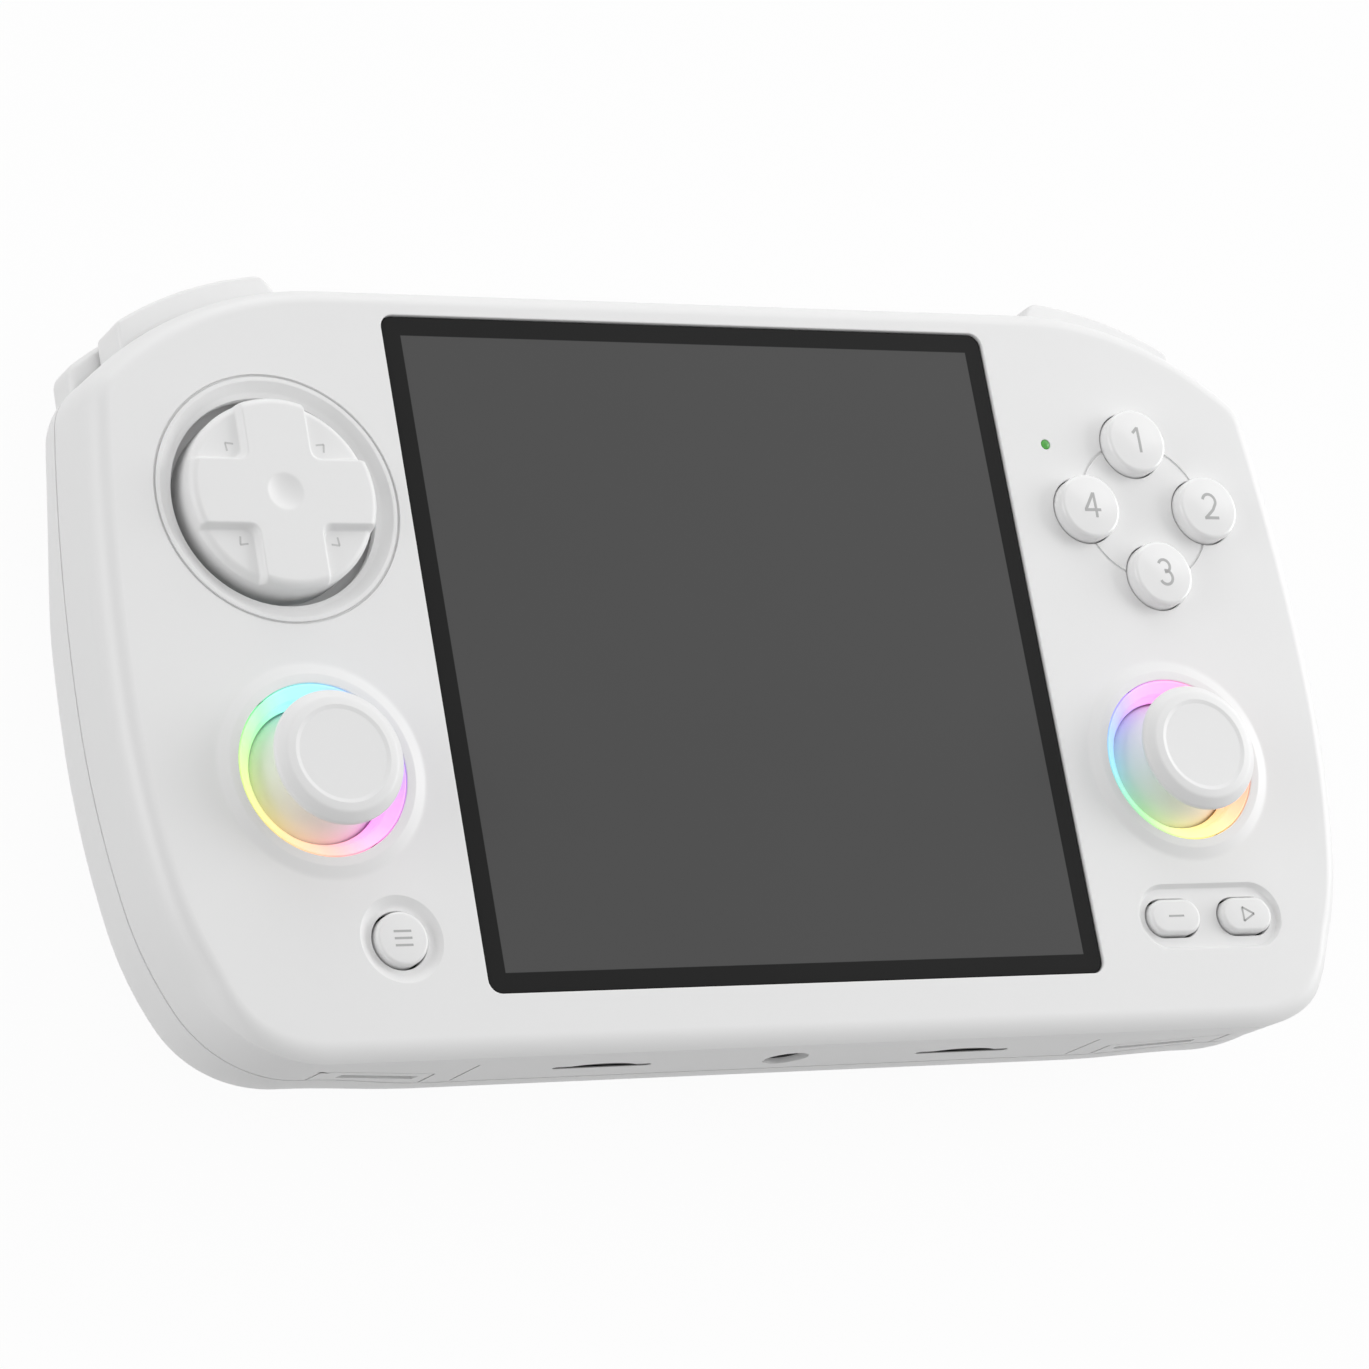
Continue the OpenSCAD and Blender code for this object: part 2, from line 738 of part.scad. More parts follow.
module display_bracket() {
    color("#b8bcc0")
        difference() {
            union() {
                block(-bracket_w / 2, bracket_w / 2, -bracket_w / 2, bracket_w / 2, bracket_back, lcd_back);
                for (sx = [-1, 1])
                    block(sx * ear_x - ear_w / 2, sx * ear_x + ear_w / 2, -ear_y - 1.2, ear_y + 1.2,
                          bracket_back, lcd_back);
            }
            for (sx = [-1, 1]) for (sy = [-1, 1])
                translate([sx * ear_x, sy * ear_y, 0])
                    rod(bracket_screw_r + fit, bracket_back - over, lcd_back + over);
            block(-cable_w / 2 - 1, cable_w / 2 + 1, cable_y - 3, cable_y + 8, bracket_back - over,
                  lcd_back + over);
        }
}

module screw(shank_r, big_r, big_t, l) {
    rod(shank_r, -over / 10, l);
    difference() {
        rod(big_r, -big_t, 0);
        for (a = [0, 90])
            rotate([0, 0, a])
                block(-big_r / 2, big_r / 2, -big_r / 8, big_r / 8, -big_t - over, -big_t / 2);
    }
}

module bracket_screws() {
    color("#8c8f94")
        for (sx = [-1, 1]) for (sy = [-1, 1])
            translate([sx * ear_x, sy * ear_y, bracket_back])
                screw(bracket_screw_r, 2 * bracket_screw_r, 0.6, bracket_t + 1);
}

module board_screws() {
    color("#8c8f94")
        at_each(board_posts)
            translate([0, 0, board_back])
                screw(bracket_screw_r + 0.2, 1.6, 1, board_t + 3);
}

module case_screws() {
    color("#55585c")
        at_each(case_bosses)
            translate([0, 0, seat_z])
                screw(screw_r, head_r, head_t, screw_l);
}

// Flat cable from the back of the display to the front of the board
module display_cable() {
    turn = 2.5;
    color("#b07a32")
        translate([-cable_w / 2, 0, 0])
            rotate([90, 0, 90])
                linear_extrude(cable_w)
                    polygon([[cable_y + 6, lcd_back], [cable_y + 6, lcd_back - cable_t],
                             [cable_y + cable_t, lcd_back - cable_t],
                             [cable_y + cable_t, board_z + cable_t], [cable_y + turn + 3, board_z + cable_t],
                             [cable_y + turn + 3, board_z], [cable_y, board_z], [cable_y, lcd_back]]);
}

module main_board() {
    color("#1f5a3a")
        difference() {
            translate([0, 0, board_back])
                linear_extrude(board_t)
                    difference() {
                        union() {
                            translate([0, (board_top - board_bottom) / 2]) {
                                square([board_w - 2 * board_r, board_l], center = true);
                                square([board_w, board_l - 2 * board_r], center = true);
                                for (sx = [-1, 1]) for (sy = [-1, 1])
                                    translate([sx * (board_w / 2 - board_r), sy * (board_l / 2 - board_r)])
                                        circle(board_r);
                            }
                            translate([-tongue_w / 2, -tongue_bottom])
                                square([tongue_w, tongue_top + tongue_bottom]);
                        }
                        for (p = stick_places)
                            translate(p)
                                square(grow * (housing_w + 4 * fit), center = true);
                        translate([-jack_w / 2 - 2 * fit, -tongue_bottom - over])
                            square([jack_w + 4 * fit, jack_l + over]);
                    }
            at_each(board_posts)
                rod(bracket_screw_r + 0.2 + fit, board_back - over, board_z + over);
        }
}

module processor_shield() {
    side = 22;
    tall = 2;
    color("#a9adb2")
        block(-side / 2, side / 2, -side / 3, side * 2 / 3, board_back - tall, board_back);
}

module battery_pack() {
    color("#3c4046")
        translate([0, 0, floor_z])
            plate(battery_w, battery_h, 2, battery_t);
}

module speaker(side) {
    cone_r = 1.9;
    color("#2b2b2d")
        translate([side * speaker_x, 0, 0])
            difference() {
                block(-speaker_l / 2, speaker_l / 2, speaker_y, speaker_y + speaker_t,
                      speaker_top - speaker_h, speaker_top);
                translate([0, speaker_y + 0.8, speaker_top - speaker_h / 2])
                    rotate([90, 0, 0])
                        bar(speaker_l - 3, 2 * cone_r, over + 0.8);
            }
}

module left_speaker() { speaker(-1); }

module right_speaker() { speaker(1); }

module headphone_jack() {
    mouth = bottom_y + nose_recess;
    body_y = inner_bottom + 3 * fit;
    color("#26272a")
        difference() {
            union() {
                block(-jack_w / 2, jack_w / 2, body_y, body_y + jack_l - 1, jack_z - jack_h / 2,
                      jack_z + jack_h / 2);
                translate([0, body_y + over, jack_z])
                    rotate([90, 0, 0])
                        cylinder(r = jack_nose_r, h = body_y + over - mouth);
            }
            translate([0, mouth + jack_l, jack_z])
                rotate([90, 0, 0])
                    cylinder(r = jack_bore_r, h = jack_l + over);
        }
}

// Metal socket in the top wall with a tongue inside
module socket(w) {
    hollow = 6.4;
    tongue_t = 0.7;
    translate([0, 0, usb_z]) {
        rotate([90, 0, 0])
            difference() {
                bar(w, usb_h, usb_l);
                translate([0, 0, -over])
                    bar(w - 2 * port_shell, usb_h - 2 * port_shell, hollow + over);
            }
        block(-w / 2 + 1.3, w / 2 - 1.3, -usb_l + 1, -over, -tongue_t / 2, tongue_t / 2);
    }
}

module top_socket(x, w) {
    color("#b9bdc2")
        translate([x, top_y - nose_recess, 0])
            socket(w);
}

module usb_port() { top_socket(usb_x, usb_w); }

module video_port() { top_socket(-video_x, video_w); }

module card_socket(side) {
    mouth = inner_bottom + 2 * fit;
    color("#c3c6ca")
        translate([side * card_x, 0, 0])
            difference() {
                block(-card_w / 2 - card_side, card_w / 2 + card_side, mouth, mouth + card_l, board_z,
                      board_z + card_h);
                block(-card_w / 2, card_w / 2, mouth - over, mouth + card_l - 1.5, port_z - card_gap / 2,
                      port_z + card_gap / 2);
            }
}

module left_card_socket() { card_socket(-1); }

module right_card_socket() { card_socket(1); }

module vibration_motor() {
    motor_r = 4;
    color("#b5b8bc")
        translate([-glass_w / 2 - motor_r, board_top - motor_r - 1, floor_z]) {
            cylinder(r = motor_r, h = 2.7);
            cylinder(r = motor_r / 3, h = 3);
        }
}

module light_ring(side) {
    inner = ring_r - ring_w;
    color("#d9f2ff")
        control([side * stick_x, -stick_y])
            rotate_extrude($fn = 96)
                polygon([[inner, -wall - ring_flange_t], [ring_r + ring_flange, -wall - ring_flange_t],
                         [ring_r + ring_flange, -wall], [ring_r, -wall], [ring_r, collar_h / 2],
                         [ring_r - ring_w / 3, collar_h / 2], [inner, -collar_h / 2]]);
}

module left_light_ring() { light_ring(-1); }

module right_light_ring() { light_ring(1); }

module status_light_pipe() {
    color("#4fd06a")
        control([light_x, light_y]) {
            rod(light_r, sheet_z + play, 0);
            rod(light_r + 0.7, -wall - 0.8, -wall);
        }
}

// Rubber dome under a button's foot
module dome(foot_r, foot_z) {
    translate([0, 0, sheet_z])
        cylinder(r1 = foot_r + 0.4, r2 = foot_r - 0.6, h = foot_z - play - sheet_z);
}

module dpad_membrane() {
    centre_r = 1.6;
    dome_r = 2.6;
    color("#7b7f84")
        control([-dpad_x, dpad_y]) {
            rod(well_r + 0.4, board_z, sheet_z);
            rod(centre_r, board_z, bead_z - bead_pin_r - play);
            for (a = [0:90:270])
                rotate([0, 0, a])
                    translate([dpad_r * 0.76, 0, sheet_z])
                        cylinder(r1 = dome_r, r2 = dome_r - 0.8, h = dpad_back - 0.4 - sheet_z);
        }
}

face_foot_r = 2.6;

module face_button_membrane() {
    side = 2 * (face_pitch + face_foot_r + 0.4);
    color("#7b7f84") {
        control([face_x, face_y])
            translate([0, 0, board_z])
                plate(side, side, 3, sheet_t);
        for (p = face_places)
            control(p)
                dome(face_foot_r, face_foot_z);
    }
}

menu_foot_r = 2.2;
pair_foot_r = 1.9;

module menu_membrane() {
    color("#7b7f84")
        control([-menu_x, -small_y]) {
            rod(menu_dish_r - 0.7, board_z, sheet_z);
            dome(menu_foot_r, small_foot_z);
        }
}

module select_start_membrane() {
    color("#7b7f84") {
        control([pair_x, -small_y])
            translate([0, 0, board_z])
                bar(pair_pitch + pair_l, pair_w + 2.4, sheet_t);
        for (p = pair_places)
            control(p)
                dome(pair_foot_r, small_foot_z);
    }
}

// Round button with a flange under the wall and a foot over its dome
module round_button(place, hole_r, top, foot_r, foot_z) {
    edge = 0.4;
    control(place) {
        rod(hole_r - play, flange_z - flange_t, top - edge);
        translate([0, 0, top - edge])
            cylinder(r1 = hole_r - play, r2 = hole_r - play - edge, h = edge);
        rod(hole_r + flange_rim, flange_z - flange_t, flange_z);
        rod(foot_r, foot_z, flange_z);
    }
}

module face_button(i) {
    color("#f6f6f6")
        round_button(face_places[i], face_hole_r, face_top, face_foot_r, face_foot_z);
}

module face_button_top() { face_button(0); }

module face_button_right() { face_button(1); }

module face_button_bottom() { face_button(2); }

module face_button_left() { face_button(3); }

module menu_button() {
    color("#f2f2f0")
        round_button([-menu_x, -small_y], menu_hole_r, -small_recess / 3, menu_foot_r, small_foot_z);
}

module pair_button(i) {
    color("#f2f2f0")
        control(pair_places[i]) {
            translate([0, 0, flange_z - flange_t])
                bar(pair_l - 2 * play, pair_w - 2 * play, -small_recess / 3 - flange_z + flange_t);
            translate([0, 0, flange_z - flange_t])
                bar(pair_l + flange_rim, pair_w + flange_rim, flange_t);
            rod(pair_foot_r, small_foot_z, flange_z);
        }
}

module select_button() { pair_button(0); }

module start_button() { pair_button(1); }

module dpad_pivot() {
    color("#9a9da1")
        control([-dpad_x, dpad_y])
            translate([0, 0, bead_z])
                for (a = [0, 90])
                    rotate([0, 0, a])
                        across(bead_pin_r, 2 * bead_r);
}

module dpad() {
    dimple_r = 6;
    dimple_d = 0.3;
    top = dpad_top + cross_h;
    color("#f4f4f2")
        control([-dpad_x, dpad_y])
            difference() {
                union() {
                    rod(dpad_r, dpad_back, dpad_top);
                    rod(dpad_flange_r, dpad_back, dpad_flange_z);
                    for (a = [0, 90])
                        rotate([0, 0, a])
                            plate(2 * dpad_r - 0.6, cross_w, 1.2, top);
                }
                translate([0, 0, top + dimple_r - dimple_d])
                    sphere(dimple_r);
                translate([0, 0, bead_z])
                    sphere(bead_r + play);
            }
}

module stick_housing(side) {
    out = housing_w / 2;
    ear = 2.6;
    color("#2f3135")
        control([side * stick_x, -stick_y]) {
            difference() {
                block(-out, out, -out, out, housing_floor - housing_wall, housing_top);
                block(-out + housing_wall, out - housing_wall, -out + housing_wall, out - housing_wall,
                      housing_floor, housing_top + over);
            }
            for (sx = [-1, 1])
                translate([sx * (out + ear / 2 - 0.2), 0, 0])
                    block(-ear / 2, ear / 2, -3, 3, board_z, board_z + housing_wall);
        }
}

module left_stick_housing() { stick_housing(-1); }

module right_stick_housing() { stick_housing(1); }

module across(r, l) {
    rotate([0, 90, 0])
        cylinder(r = r, h = l, center = true);
}

module stick_cradle(side) {
    half = housing_w / 2 - housing_wall - play;
    inner = rocker_x + play;
    color("#d6d7d8")
        control([side * stick_x, -stick_y])
            difference() {
                union() {
                    block(-half, half, -half, half, cradle_z - cradle_t, cradle_z);
                    for (sx = [-1, 1])
                        translate([sx * (inner + upright_t / 2), 0, 0])
                            block(-upright_t / 2, upright_t / 2, -upright_w / 2, upright_w / 2,
                                  cradle_z - cradle_t, pivot_z + 1.8);
                }
                translate([0, 0, pivot_z])
                    across(cross_pin_r + play, housing_w);
            }
}

module left_stick_cradle() { stick_cradle(-1); }

module right_stick_cradle() { stick_cradle(1); }

module stick_rocker(side) {
    color("#eceded")
        control([side * stick_x, -stick_y])
            translate([0, 0, pivot_z])
                difference() {
                    union() {
                        block(-rocker_x, rocker_x, -rocker_y, rocker_y, -rocker_t / 2, rocker_t / 2);
                        across(cross_pin_r, 2 * (rocker_x + play + upright_t));
                    }
                    block(-rocker_gap_x, rocker_gap_x, -rocker_gap_y, rocker_gap_y, -rocker_t, rocker_t);
                    rotate([0, 0, 90])
                        across(cross_pin_r + play - 0.05, 3 * rocker_y);
                }
}

module left_stick_rocker() { stick_rocker(-1); }

module right_stick_rocker() { stick_rocker(1); }

module stick_shaft(side) {
    color("#9fa2a6")
        control([side * stick_x, -stick_y])
            translate([0, 0, pivot_z]) {
                sphere(hub_r);
                rod(shaft_r, 0, pivot_d + cap_top - 2.6);
                rotate([0, 0, 90])
                    across(cross_pin_r, 2 * rocker_y - 0.4);
            }
}

module left_stick_shaft() { stick_shaft(-1); }

module right_stick_shaft() { stick_shaft(1); }

// Turned cap: a dished top with a rim, a waist and a round skirt about the pivot
module stick_cap(side) {
    waist_r = 4.2;
    waist_z = 2.2;
    dish_d = 0.5;
    lip = 0.7;
    inside_r = skirt_r - skirt_t;
    skirt_low = 60;
    skirt_high = asin(waist_r / skirt_r);
    steps = 6;
    skirt_out = [for (i = [0:steps]) let (a = skirt_high + (skirt_low - skirt_high) * i / steps)
        [skirt_r * sin(a), pivot_z + skirt_r * cos(a)]];
    skirt_in = [for (i = [steps:-1:0]) let (a = skirt_high / 2 + (skirt_low - skirt_high / 2) * i / steps)
        [inside_r * sin(a), pivot_z + inside_r * cos(a)]];
    bore = shaft_r + fit / 2;
    color("#f1f1ef")
        control([side * stick_x, -stick_y])
            rotate_extrude($fn = 96)
                polygon(concat([[0, cap_top - dish_d], [cap_dish_r - lip, cap_top - dish_d],
                                [cap_dish_r, cap_top], [cap_r - 0.8, cap_top - 0.3], [cap_r, cap_top - 1.3],
                                [cap_r - 0.4, cap_top - 2], [waist_r, waist_z]],
                               skirt_out, skirt_in,
                               [[bore, pivot_z + inside_r * cos(skirt_high / 2)], [bore, cap_top - 2.6 + fit],
                                [0, cap_top - 2.6 + fit]]));
}

module left_stick_cap() { stick_cap(-1); }

module right_stick_cap() { stick_cap(1); }

module shoulder_pin(side) {
    color("#9a9da2")
        translate([side * pin_x, pin_y, 0])
            rod(pin_r, trigger_back - pin_end, -bumper_d + pin_end);
}

module left_shoulder_pin() { shoulder_pin(-1); }

module right_shoulder_pin() { shoulder_pin(1); }

// Right shoulder button: a turned band around the corner with an arm to the eye on the pin
module shoulder_button(end_x, z0, z1, profile) {
    difference() {
        union() {
            shoulder_band(shoulder_start, end_x, profile);
            block(nub_x - 1, nub_x + 1, switch_tip + nub_room, arm_y - 2 * over, z0 + over, z1 - over);
            translate([pin_x, pin_y, 0])
                rod(eye_r, z0, z1);
            block(pin_x + 0.3, pin_x + 5, pin_y, arm_y, z0, z1);
        }
        translate([pin_x, pin_y, 0])
            rod(pin_r + play, z0 - over, z1 + over);
        slant = 2.2;
        translate([corner_x - over, top_y + shoulder_out, z0 - over])
            linear_extrude(z1 - z0 + 2 * over)
                polygon([[0, -slant - 1.2], [over + 4.6, 0.4], [0, 0.4]]);
    }
}

module bumper() {
    near = top_corner_r - shoulder_in;
    far = top_corner_r + shoulder_out;
    soft = 0.7;
    z0 = bumper_z;
    z1 = -bumper_d;
    color("#efefed")
        shoulder_button(bumper_end, z0, z1,
            [[near, z0], [far, z0], [far, z1 - soft], [far - soft, z1], [near, z1]]);
}

module trigger() {
    near = top_corner_r - shoulder_in;
    far = top_corner_r + shoulder_out - 0.3;
    taper = 1.8;
    z0 = trigger_back;
    z1 = trigger_z;
    color("#efefed")
        shoulder_button(trigger_end, z0, z1,
            [[near, z0], [far - taper, z0], [far, z0 + trigger_t / 2], [far, z1], [near, z1]]);
}

module left_bumper() { mirror([1, 0, 0]) bumper(); }

module right_bumper() { bumper(); }

module left_trigger() { mirror([1, 0, 0]) trigger(); }

module right_trigger() { trigger(); }

module shoulder_switches() {
    half = 3;
    tall = 2.6;
    back = board_top - 1.2;
    out = switch_tip - 0.6;
    plunger = 1;
    color("#3a3c40")
        for (sx = [-1, 1]) for (z = [board_z, board_back - tall])
            translate([sx * nub_x, 0, z]) {
                block(-half, half, back, out, 0, tall);
                block(-plunger, plunger, back, switch_tip, plunger / 2, tall - plunger / 2);
            }
}

module top_switches() {
    half = 2.6;
    front = inner_top - edge_flange - play - edge_travel - 0.3;
    color("#3a3c40")
        for (x = edge_places) {
            block(x - half, x + half, front - 3.2, front - 0.6, board_z, board_z + 2.8);
            block(x - 1, x + 1, front - 1, front, board_z + 0.6, board_z + 2.4);
        }
}

module edge_button(i) {
    color("#f0f0ee")
        translate([edge_places[i], 0, 0]) {
            edge_cap(edge_button_l, edge_button_w, inner_top - play - edge_flange, top_y + edge_out);
            edge_cap(edge_button_l + 1.6, edge_button_w + 0.9, inner_top - play - edge_flange,
                     inner_top - play);
        }
}

module power_button() { edge_button(0); }

module volume_down_button() { edge_button(1); }

module volume_up_button() { edge_button(2); }

// Sets the face coordinates on the grips, with the overall footprint centred
module stand() {
    translate([0, screen_y, front_z])
        children();
}

stand() front_shell();
stand() rear_shell();
stand() screen_glass();
stand() display_adhesive();
stand() lcd_panel();
stand() display_bracket();
stand() bracket_screws();
stand() display_cable();
stand() main_board();
stand() board_screws();
stand() processor_shield();
stand() battery_pack();
stand() left_speaker();
stand() right_speaker();
stand() headphone_jack();
stand() usb_port();
stand() video_port();
stand() left_card_socket();
stand() right_card_socket();
stand() vibration_motor();
stand() left_light_ring();
stand() right_light_ring();
stand() status_light_pipe();
stand() dpad_membrane();
stand() face_button_membrane();
stand() menu_membrane();
stand() select_start_membrane();
stand() left_stick_housing();
stand() right_stick_housing();
stand() left_shoulder_pin();
stand() right_shoulder_pin();
stand() shoulder_switches();
stand() top_switches();
stand() case_screws();
stand() dpad_pivot();
stand() dpad();
stand() face_button_top();
stand() face_button_right();
stand() face_button_bottom();
stand() face_button_left();
stand() menu_button();
stand() select_button();
stand() start_button();
stand() left_stick_cradle();
stand() left_stick_rocker();
stand() left_stick_shaft();
stand() left_stick_cap();
stand() right_stick_cradle();
stand() right_stick_rocker();
stand() right_stick_shaft();
stand() right_stick_cap();
stand() left_bumper();
stand() right_bumper();
stand() left_trigger();
stand() right_trigger();
stand() power_button();
stand() volume_up_button();
stand() volume_down_button();
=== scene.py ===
import json

import bmesh
import bpy
import numpy as np
from mathutils import Matrix, Vector, geometry


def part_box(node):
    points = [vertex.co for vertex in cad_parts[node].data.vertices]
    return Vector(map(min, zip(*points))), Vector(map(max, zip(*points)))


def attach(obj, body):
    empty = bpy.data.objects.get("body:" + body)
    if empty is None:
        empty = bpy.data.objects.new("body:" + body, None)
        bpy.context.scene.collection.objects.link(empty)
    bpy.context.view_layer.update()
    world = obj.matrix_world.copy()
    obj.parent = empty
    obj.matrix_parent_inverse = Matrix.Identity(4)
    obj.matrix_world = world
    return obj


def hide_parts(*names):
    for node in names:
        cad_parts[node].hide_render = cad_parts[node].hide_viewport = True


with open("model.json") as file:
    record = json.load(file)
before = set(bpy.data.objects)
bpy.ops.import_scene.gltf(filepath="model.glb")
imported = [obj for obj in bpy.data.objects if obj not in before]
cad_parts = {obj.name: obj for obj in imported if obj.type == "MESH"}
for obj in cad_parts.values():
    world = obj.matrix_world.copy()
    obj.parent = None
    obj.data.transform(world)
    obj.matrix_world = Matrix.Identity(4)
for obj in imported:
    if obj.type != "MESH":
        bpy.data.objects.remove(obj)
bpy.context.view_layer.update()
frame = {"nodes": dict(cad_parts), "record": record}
slotOf = {part["node"]: part["material_slot"] for part in frame["record"]["subparts"]}

# Shapes are drawn in millimetres on the face: x right and y up from the screen's middle, z out of the face
mm = 0.001
glassRecess = 0.3
glassLow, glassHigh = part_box("screen_glass")
faceOrigin = np.array([(glassLow.x + glassHigh.x) / 2, (glassLow.y + glassHigh.y) / 2,
                       glassHigh.z + glassRecess * mm]) / mm

body = {"width": 149.6, "height": 85.05, "screenUp": 1.07, "frontDepth": 9.0, "rearDepth": 11.0,
        "grip": 3.5, "wall": 2.0, "edgeWidth": 2.4, "edgeDepth": 3.6, "draft": 0.2, "rearRound": 9.0}
topY = body["height"] / 2 - body["screenUp"]
bottomY = -body["height"] / 2 - body["screenUp"]


# Wire carries one shader socket, so that sums and products of sockets read as formulas
class Wire:
    def __init__(self, tree, socket):
        self.tree = tree
        self.socket = socket

    def node(self, kind, inputs, output=0, **settings):
        made = self.tree.nodes.new(kind)
        for name, value in settings.items():
            setattr(made, name, value)
        for name, value in inputs.items():
            plug(self.tree, value, made.inputs[name])
        return Wire(self.tree, made.outputs[output])

    def maths(self, operation, first, second=0.0):
        return self.node("ShaderNodeMath", {0: first, 1: second}, operation=operation)

    def __add__(self, other):
        return self.maths("ADD", self, other)

    def __sub__(self, other):
        return self.maths("SUBTRACT", self, other)

    def __rsub__(self, other):
        return self.maths("SUBTRACT", other, self)

    def __mul__(self, other):
        return self.maths("MULTIPLY", self, other)

    def __truediv__(self, other):
        return self.maths("DIVIDE", self, other)

    def __abs__(self):
        return self.maths("ABSOLUTE", self)

    __radd__ = __add__


def plug(tree, value, socket):
    if isinstance(value, Wire):
        tree.links.new(value.socket, socket)
    else:
        socket.default_value = value


def linear(value):
    # sRGB from 0 to 255 to linear light
    share = np.asarray(value, float) / 255
    return np.where(share <= 0.04045, share / 12.92, ((share + 0.055) / 1.055) ** 2.4)


def colour(value):
    shade = np.broadcast_to(linear(value), 3)
    return (*map(float, shade), 1.0)


def newMaterial(name, **constants):
    material = bpy.data.materials.new(name)
    material.use_nodes = True
    tree = material.node_tree
    shader = tree.nodes["Principled BSDF"]
    for socket, value in constants.items():
        shader.inputs[socket.replace("_", " ")].default_value = value
    coordinate = tree.nodes.new("ShaderNodeTexCoord")
    place = Wire(tree, coordinate.outputs["Object"])
    return material, tree, shader, place


def noise(place, scale, detail=3.0):
    return place.node("ShaderNodeTexNoise", {"Vector": place, "Scale": scale, "Detail": detail})


def mix(place, share, first, second):
    # The colour sockets of a Mix node are its sixth and seventh inputs and its third output
    return place.node("ShaderNodeMix", {0: share, 6: first, 7: second}, output=2, data_type="RGBA")


def bumped(place, height, strength, distance):
    return place.node("ShaderNodeBump", {"Height": height, "Strength": strength, "Distance": distance})


finish = {"grainDepth": 0.00005, "cloudShade": 0.6, "grainShade": 0.4, "cloudGloss": 0.08, "grainGloss": 0.06,
          "streaks": (60.0, 2500.0, 2500.0)}


# Moulded surface: cloudy shade at hand scale, a fine spark grain in the bump and an uneven gloss
def moulded(name, light, dark, roughness, grain=9000.0, bump=0.06, cloud=60.0, **constants):
    material, tree, shader, place = newMaterial(name, **constants)
    clouds = noise(place, cloud)
    specks = noise(place, grain, 2.0)
    share = clouds * finish["cloudShade"] + specks * finish["grainShade"]
    gloss = roughness + (clouds - 0.5) * finish["cloudGloss"] + (specks - 0.5) * finish["grainGloss"]
    plug(tree, mix(place, share, colour(dark), colour(light)), shader.inputs["Base Color"])
    plug(tree, gloss, shader.inputs["Roughness"])
    plug(tree, bumped(place, specks, bump, finish["grainDepth"]), shader.inputs["Normal"])
    return material


# Cover glass: a black border printed under the glass round a square live area
def coverGlass(name, size):
    material, tree, shader, place = newMaterial(name, Specular_IOR_Level=0.08)
    parts = place.node("ShaderNodeSeparateXYZ", {"Vector": place})
    across = abs(Wire(tree, parts.socket.node.outputs["X"]) - faceOrigin[0] * mm)
    along = abs(Wire(tree, parts.socket.node.outputs["Y"]) - faceOrigin[1] * mm)
    reach = place.maths("MAXIMUM", across, along)
    live = (size["live"] / 2 * mm - reach) * size["crisp"] + 0.5
    live = place.maths("MINIMUM", place.maths("MAXIMUM", live, 0.0), 1.0)
    haze = noise(place, 35.0)
    border = mix(place, haze, colour(size["border"]), colour(size["border"] + 3))
    screen = mix(place, haze, colour(size["screen"]), colour(size["screen"] + 2))
    plug(tree, mix(place, live, border, screen), shader.inputs["Base Color"])
    plug(tree, 0.3 + haze * 0.06, shader.inputs["Roughness"])
    return material


# Lit ring: the colour follows the angle round the ring's middle
def litRing(name, centre, stops, strength):
    material, tree, shader, place = newMaterial(name, Roughness=0.35, Emission_Strength=strength)
    parts = place.node("ShaderNodeSeparateXYZ", {"Vector": place})
    across = Wire(tree, parts.socket.node.outputs["X"]) - (centre[0] + faceOrigin[0]) * mm
    along = Wire(tree, parts.socket.node.outputs["Y"]) - (centre[1] + faceOrigin[1]) * mm
    turn = place.maths("ARCTAN2", across, along) / (2 * np.pi) + 1.0
    ramp = place.node("ShaderNodeValToRGB", {"Fac": place.maths("FRACT", turn)})
    elements = ramp.socket.node.color_ramp.elements
    elements[0].color = colour(stops[0])
    elements[1].color = colour(stops[0])
    for index, stop in enumerate(stops[1:], start=1):
        elements.new(index / len(stops)).color = colour(stop)
    frost = noise(place, 900.0)
    plug(tree, mix(place, 0.5 + frost * 0.1, ramp, colour(245)), shader.inputs["Base Color"])
    plug(tree, ramp, shader.inputs["Emission Color"])
    return material


# Plated or brushed metal: streaks along x in shade and gloss
def plated(name, light, dark, roughness):
    material, tree, shader, place = newMaterial(name, Metallic=1.0)
    stretched = place.node("ShaderNodeMapping", {"Vector": place, "Scale": finish["streaks"]})
    streaks = noise(stretched, 1.0)
    plug(tree, mix(place, streaks, colour(dark), colour(light)), shader.inputs["Base Color"])
    plug(tree, roughness + streaks * 0.15, shader.inputs["Roughness"])
    return material


whitePlastic = moulded("white_plastic", 238, 234, 0.42)
glossPlastic = moulded("gloss_plastic", 240, 237, 0.17, bump=0.015, Coat_Weight=0.4, Coat_Roughness=0.08)
legendInk = moulded("legend_ink", 182, 174, 0.5, bump=0.02)
slotMaterials = {
    "shell": whitePlastic,
    "button": glossPlastic,
    "glass": moulded("panel_glass", 40, 34, 0.2, bump=0.0),
    "display": moulded("display_panel", 62, 58, 0.3, bump=0.02),
    "ring": moulded("frosted_light", 240, 232, 0.4),
    "light": moulded("light_pipe", (120, 215, 120), (100, 200, 105), 0.3),
    "rubber": moulded("grey_rubber", (120, 123, 126), (104, 106, 109), 0.7, bump=0.12),
    "adhesive": moulded("foam_tape", 34, 24, 0.85, grain=3000.0, bump=0.3),
    "metal": plated("plated_metal", 190, 168, 0.28),
    "board": moulded("solder_mask", (28, 92, 60), (20, 74, 46), 0.4, grain=2500.0),
    "cable": moulded("film_cable", (178, 120, 52), (158, 102, 42), 0.35, grain=3500.0),
    "battery": moulded("battery_sleeve", (58, 60, 64), (46, 48, 52), 0.45),
    "black": moulded("black_plastic", 36, 28, 0.45),
    "white_inner": moulded("inner_plastic", 226, 214, 0.5),
}
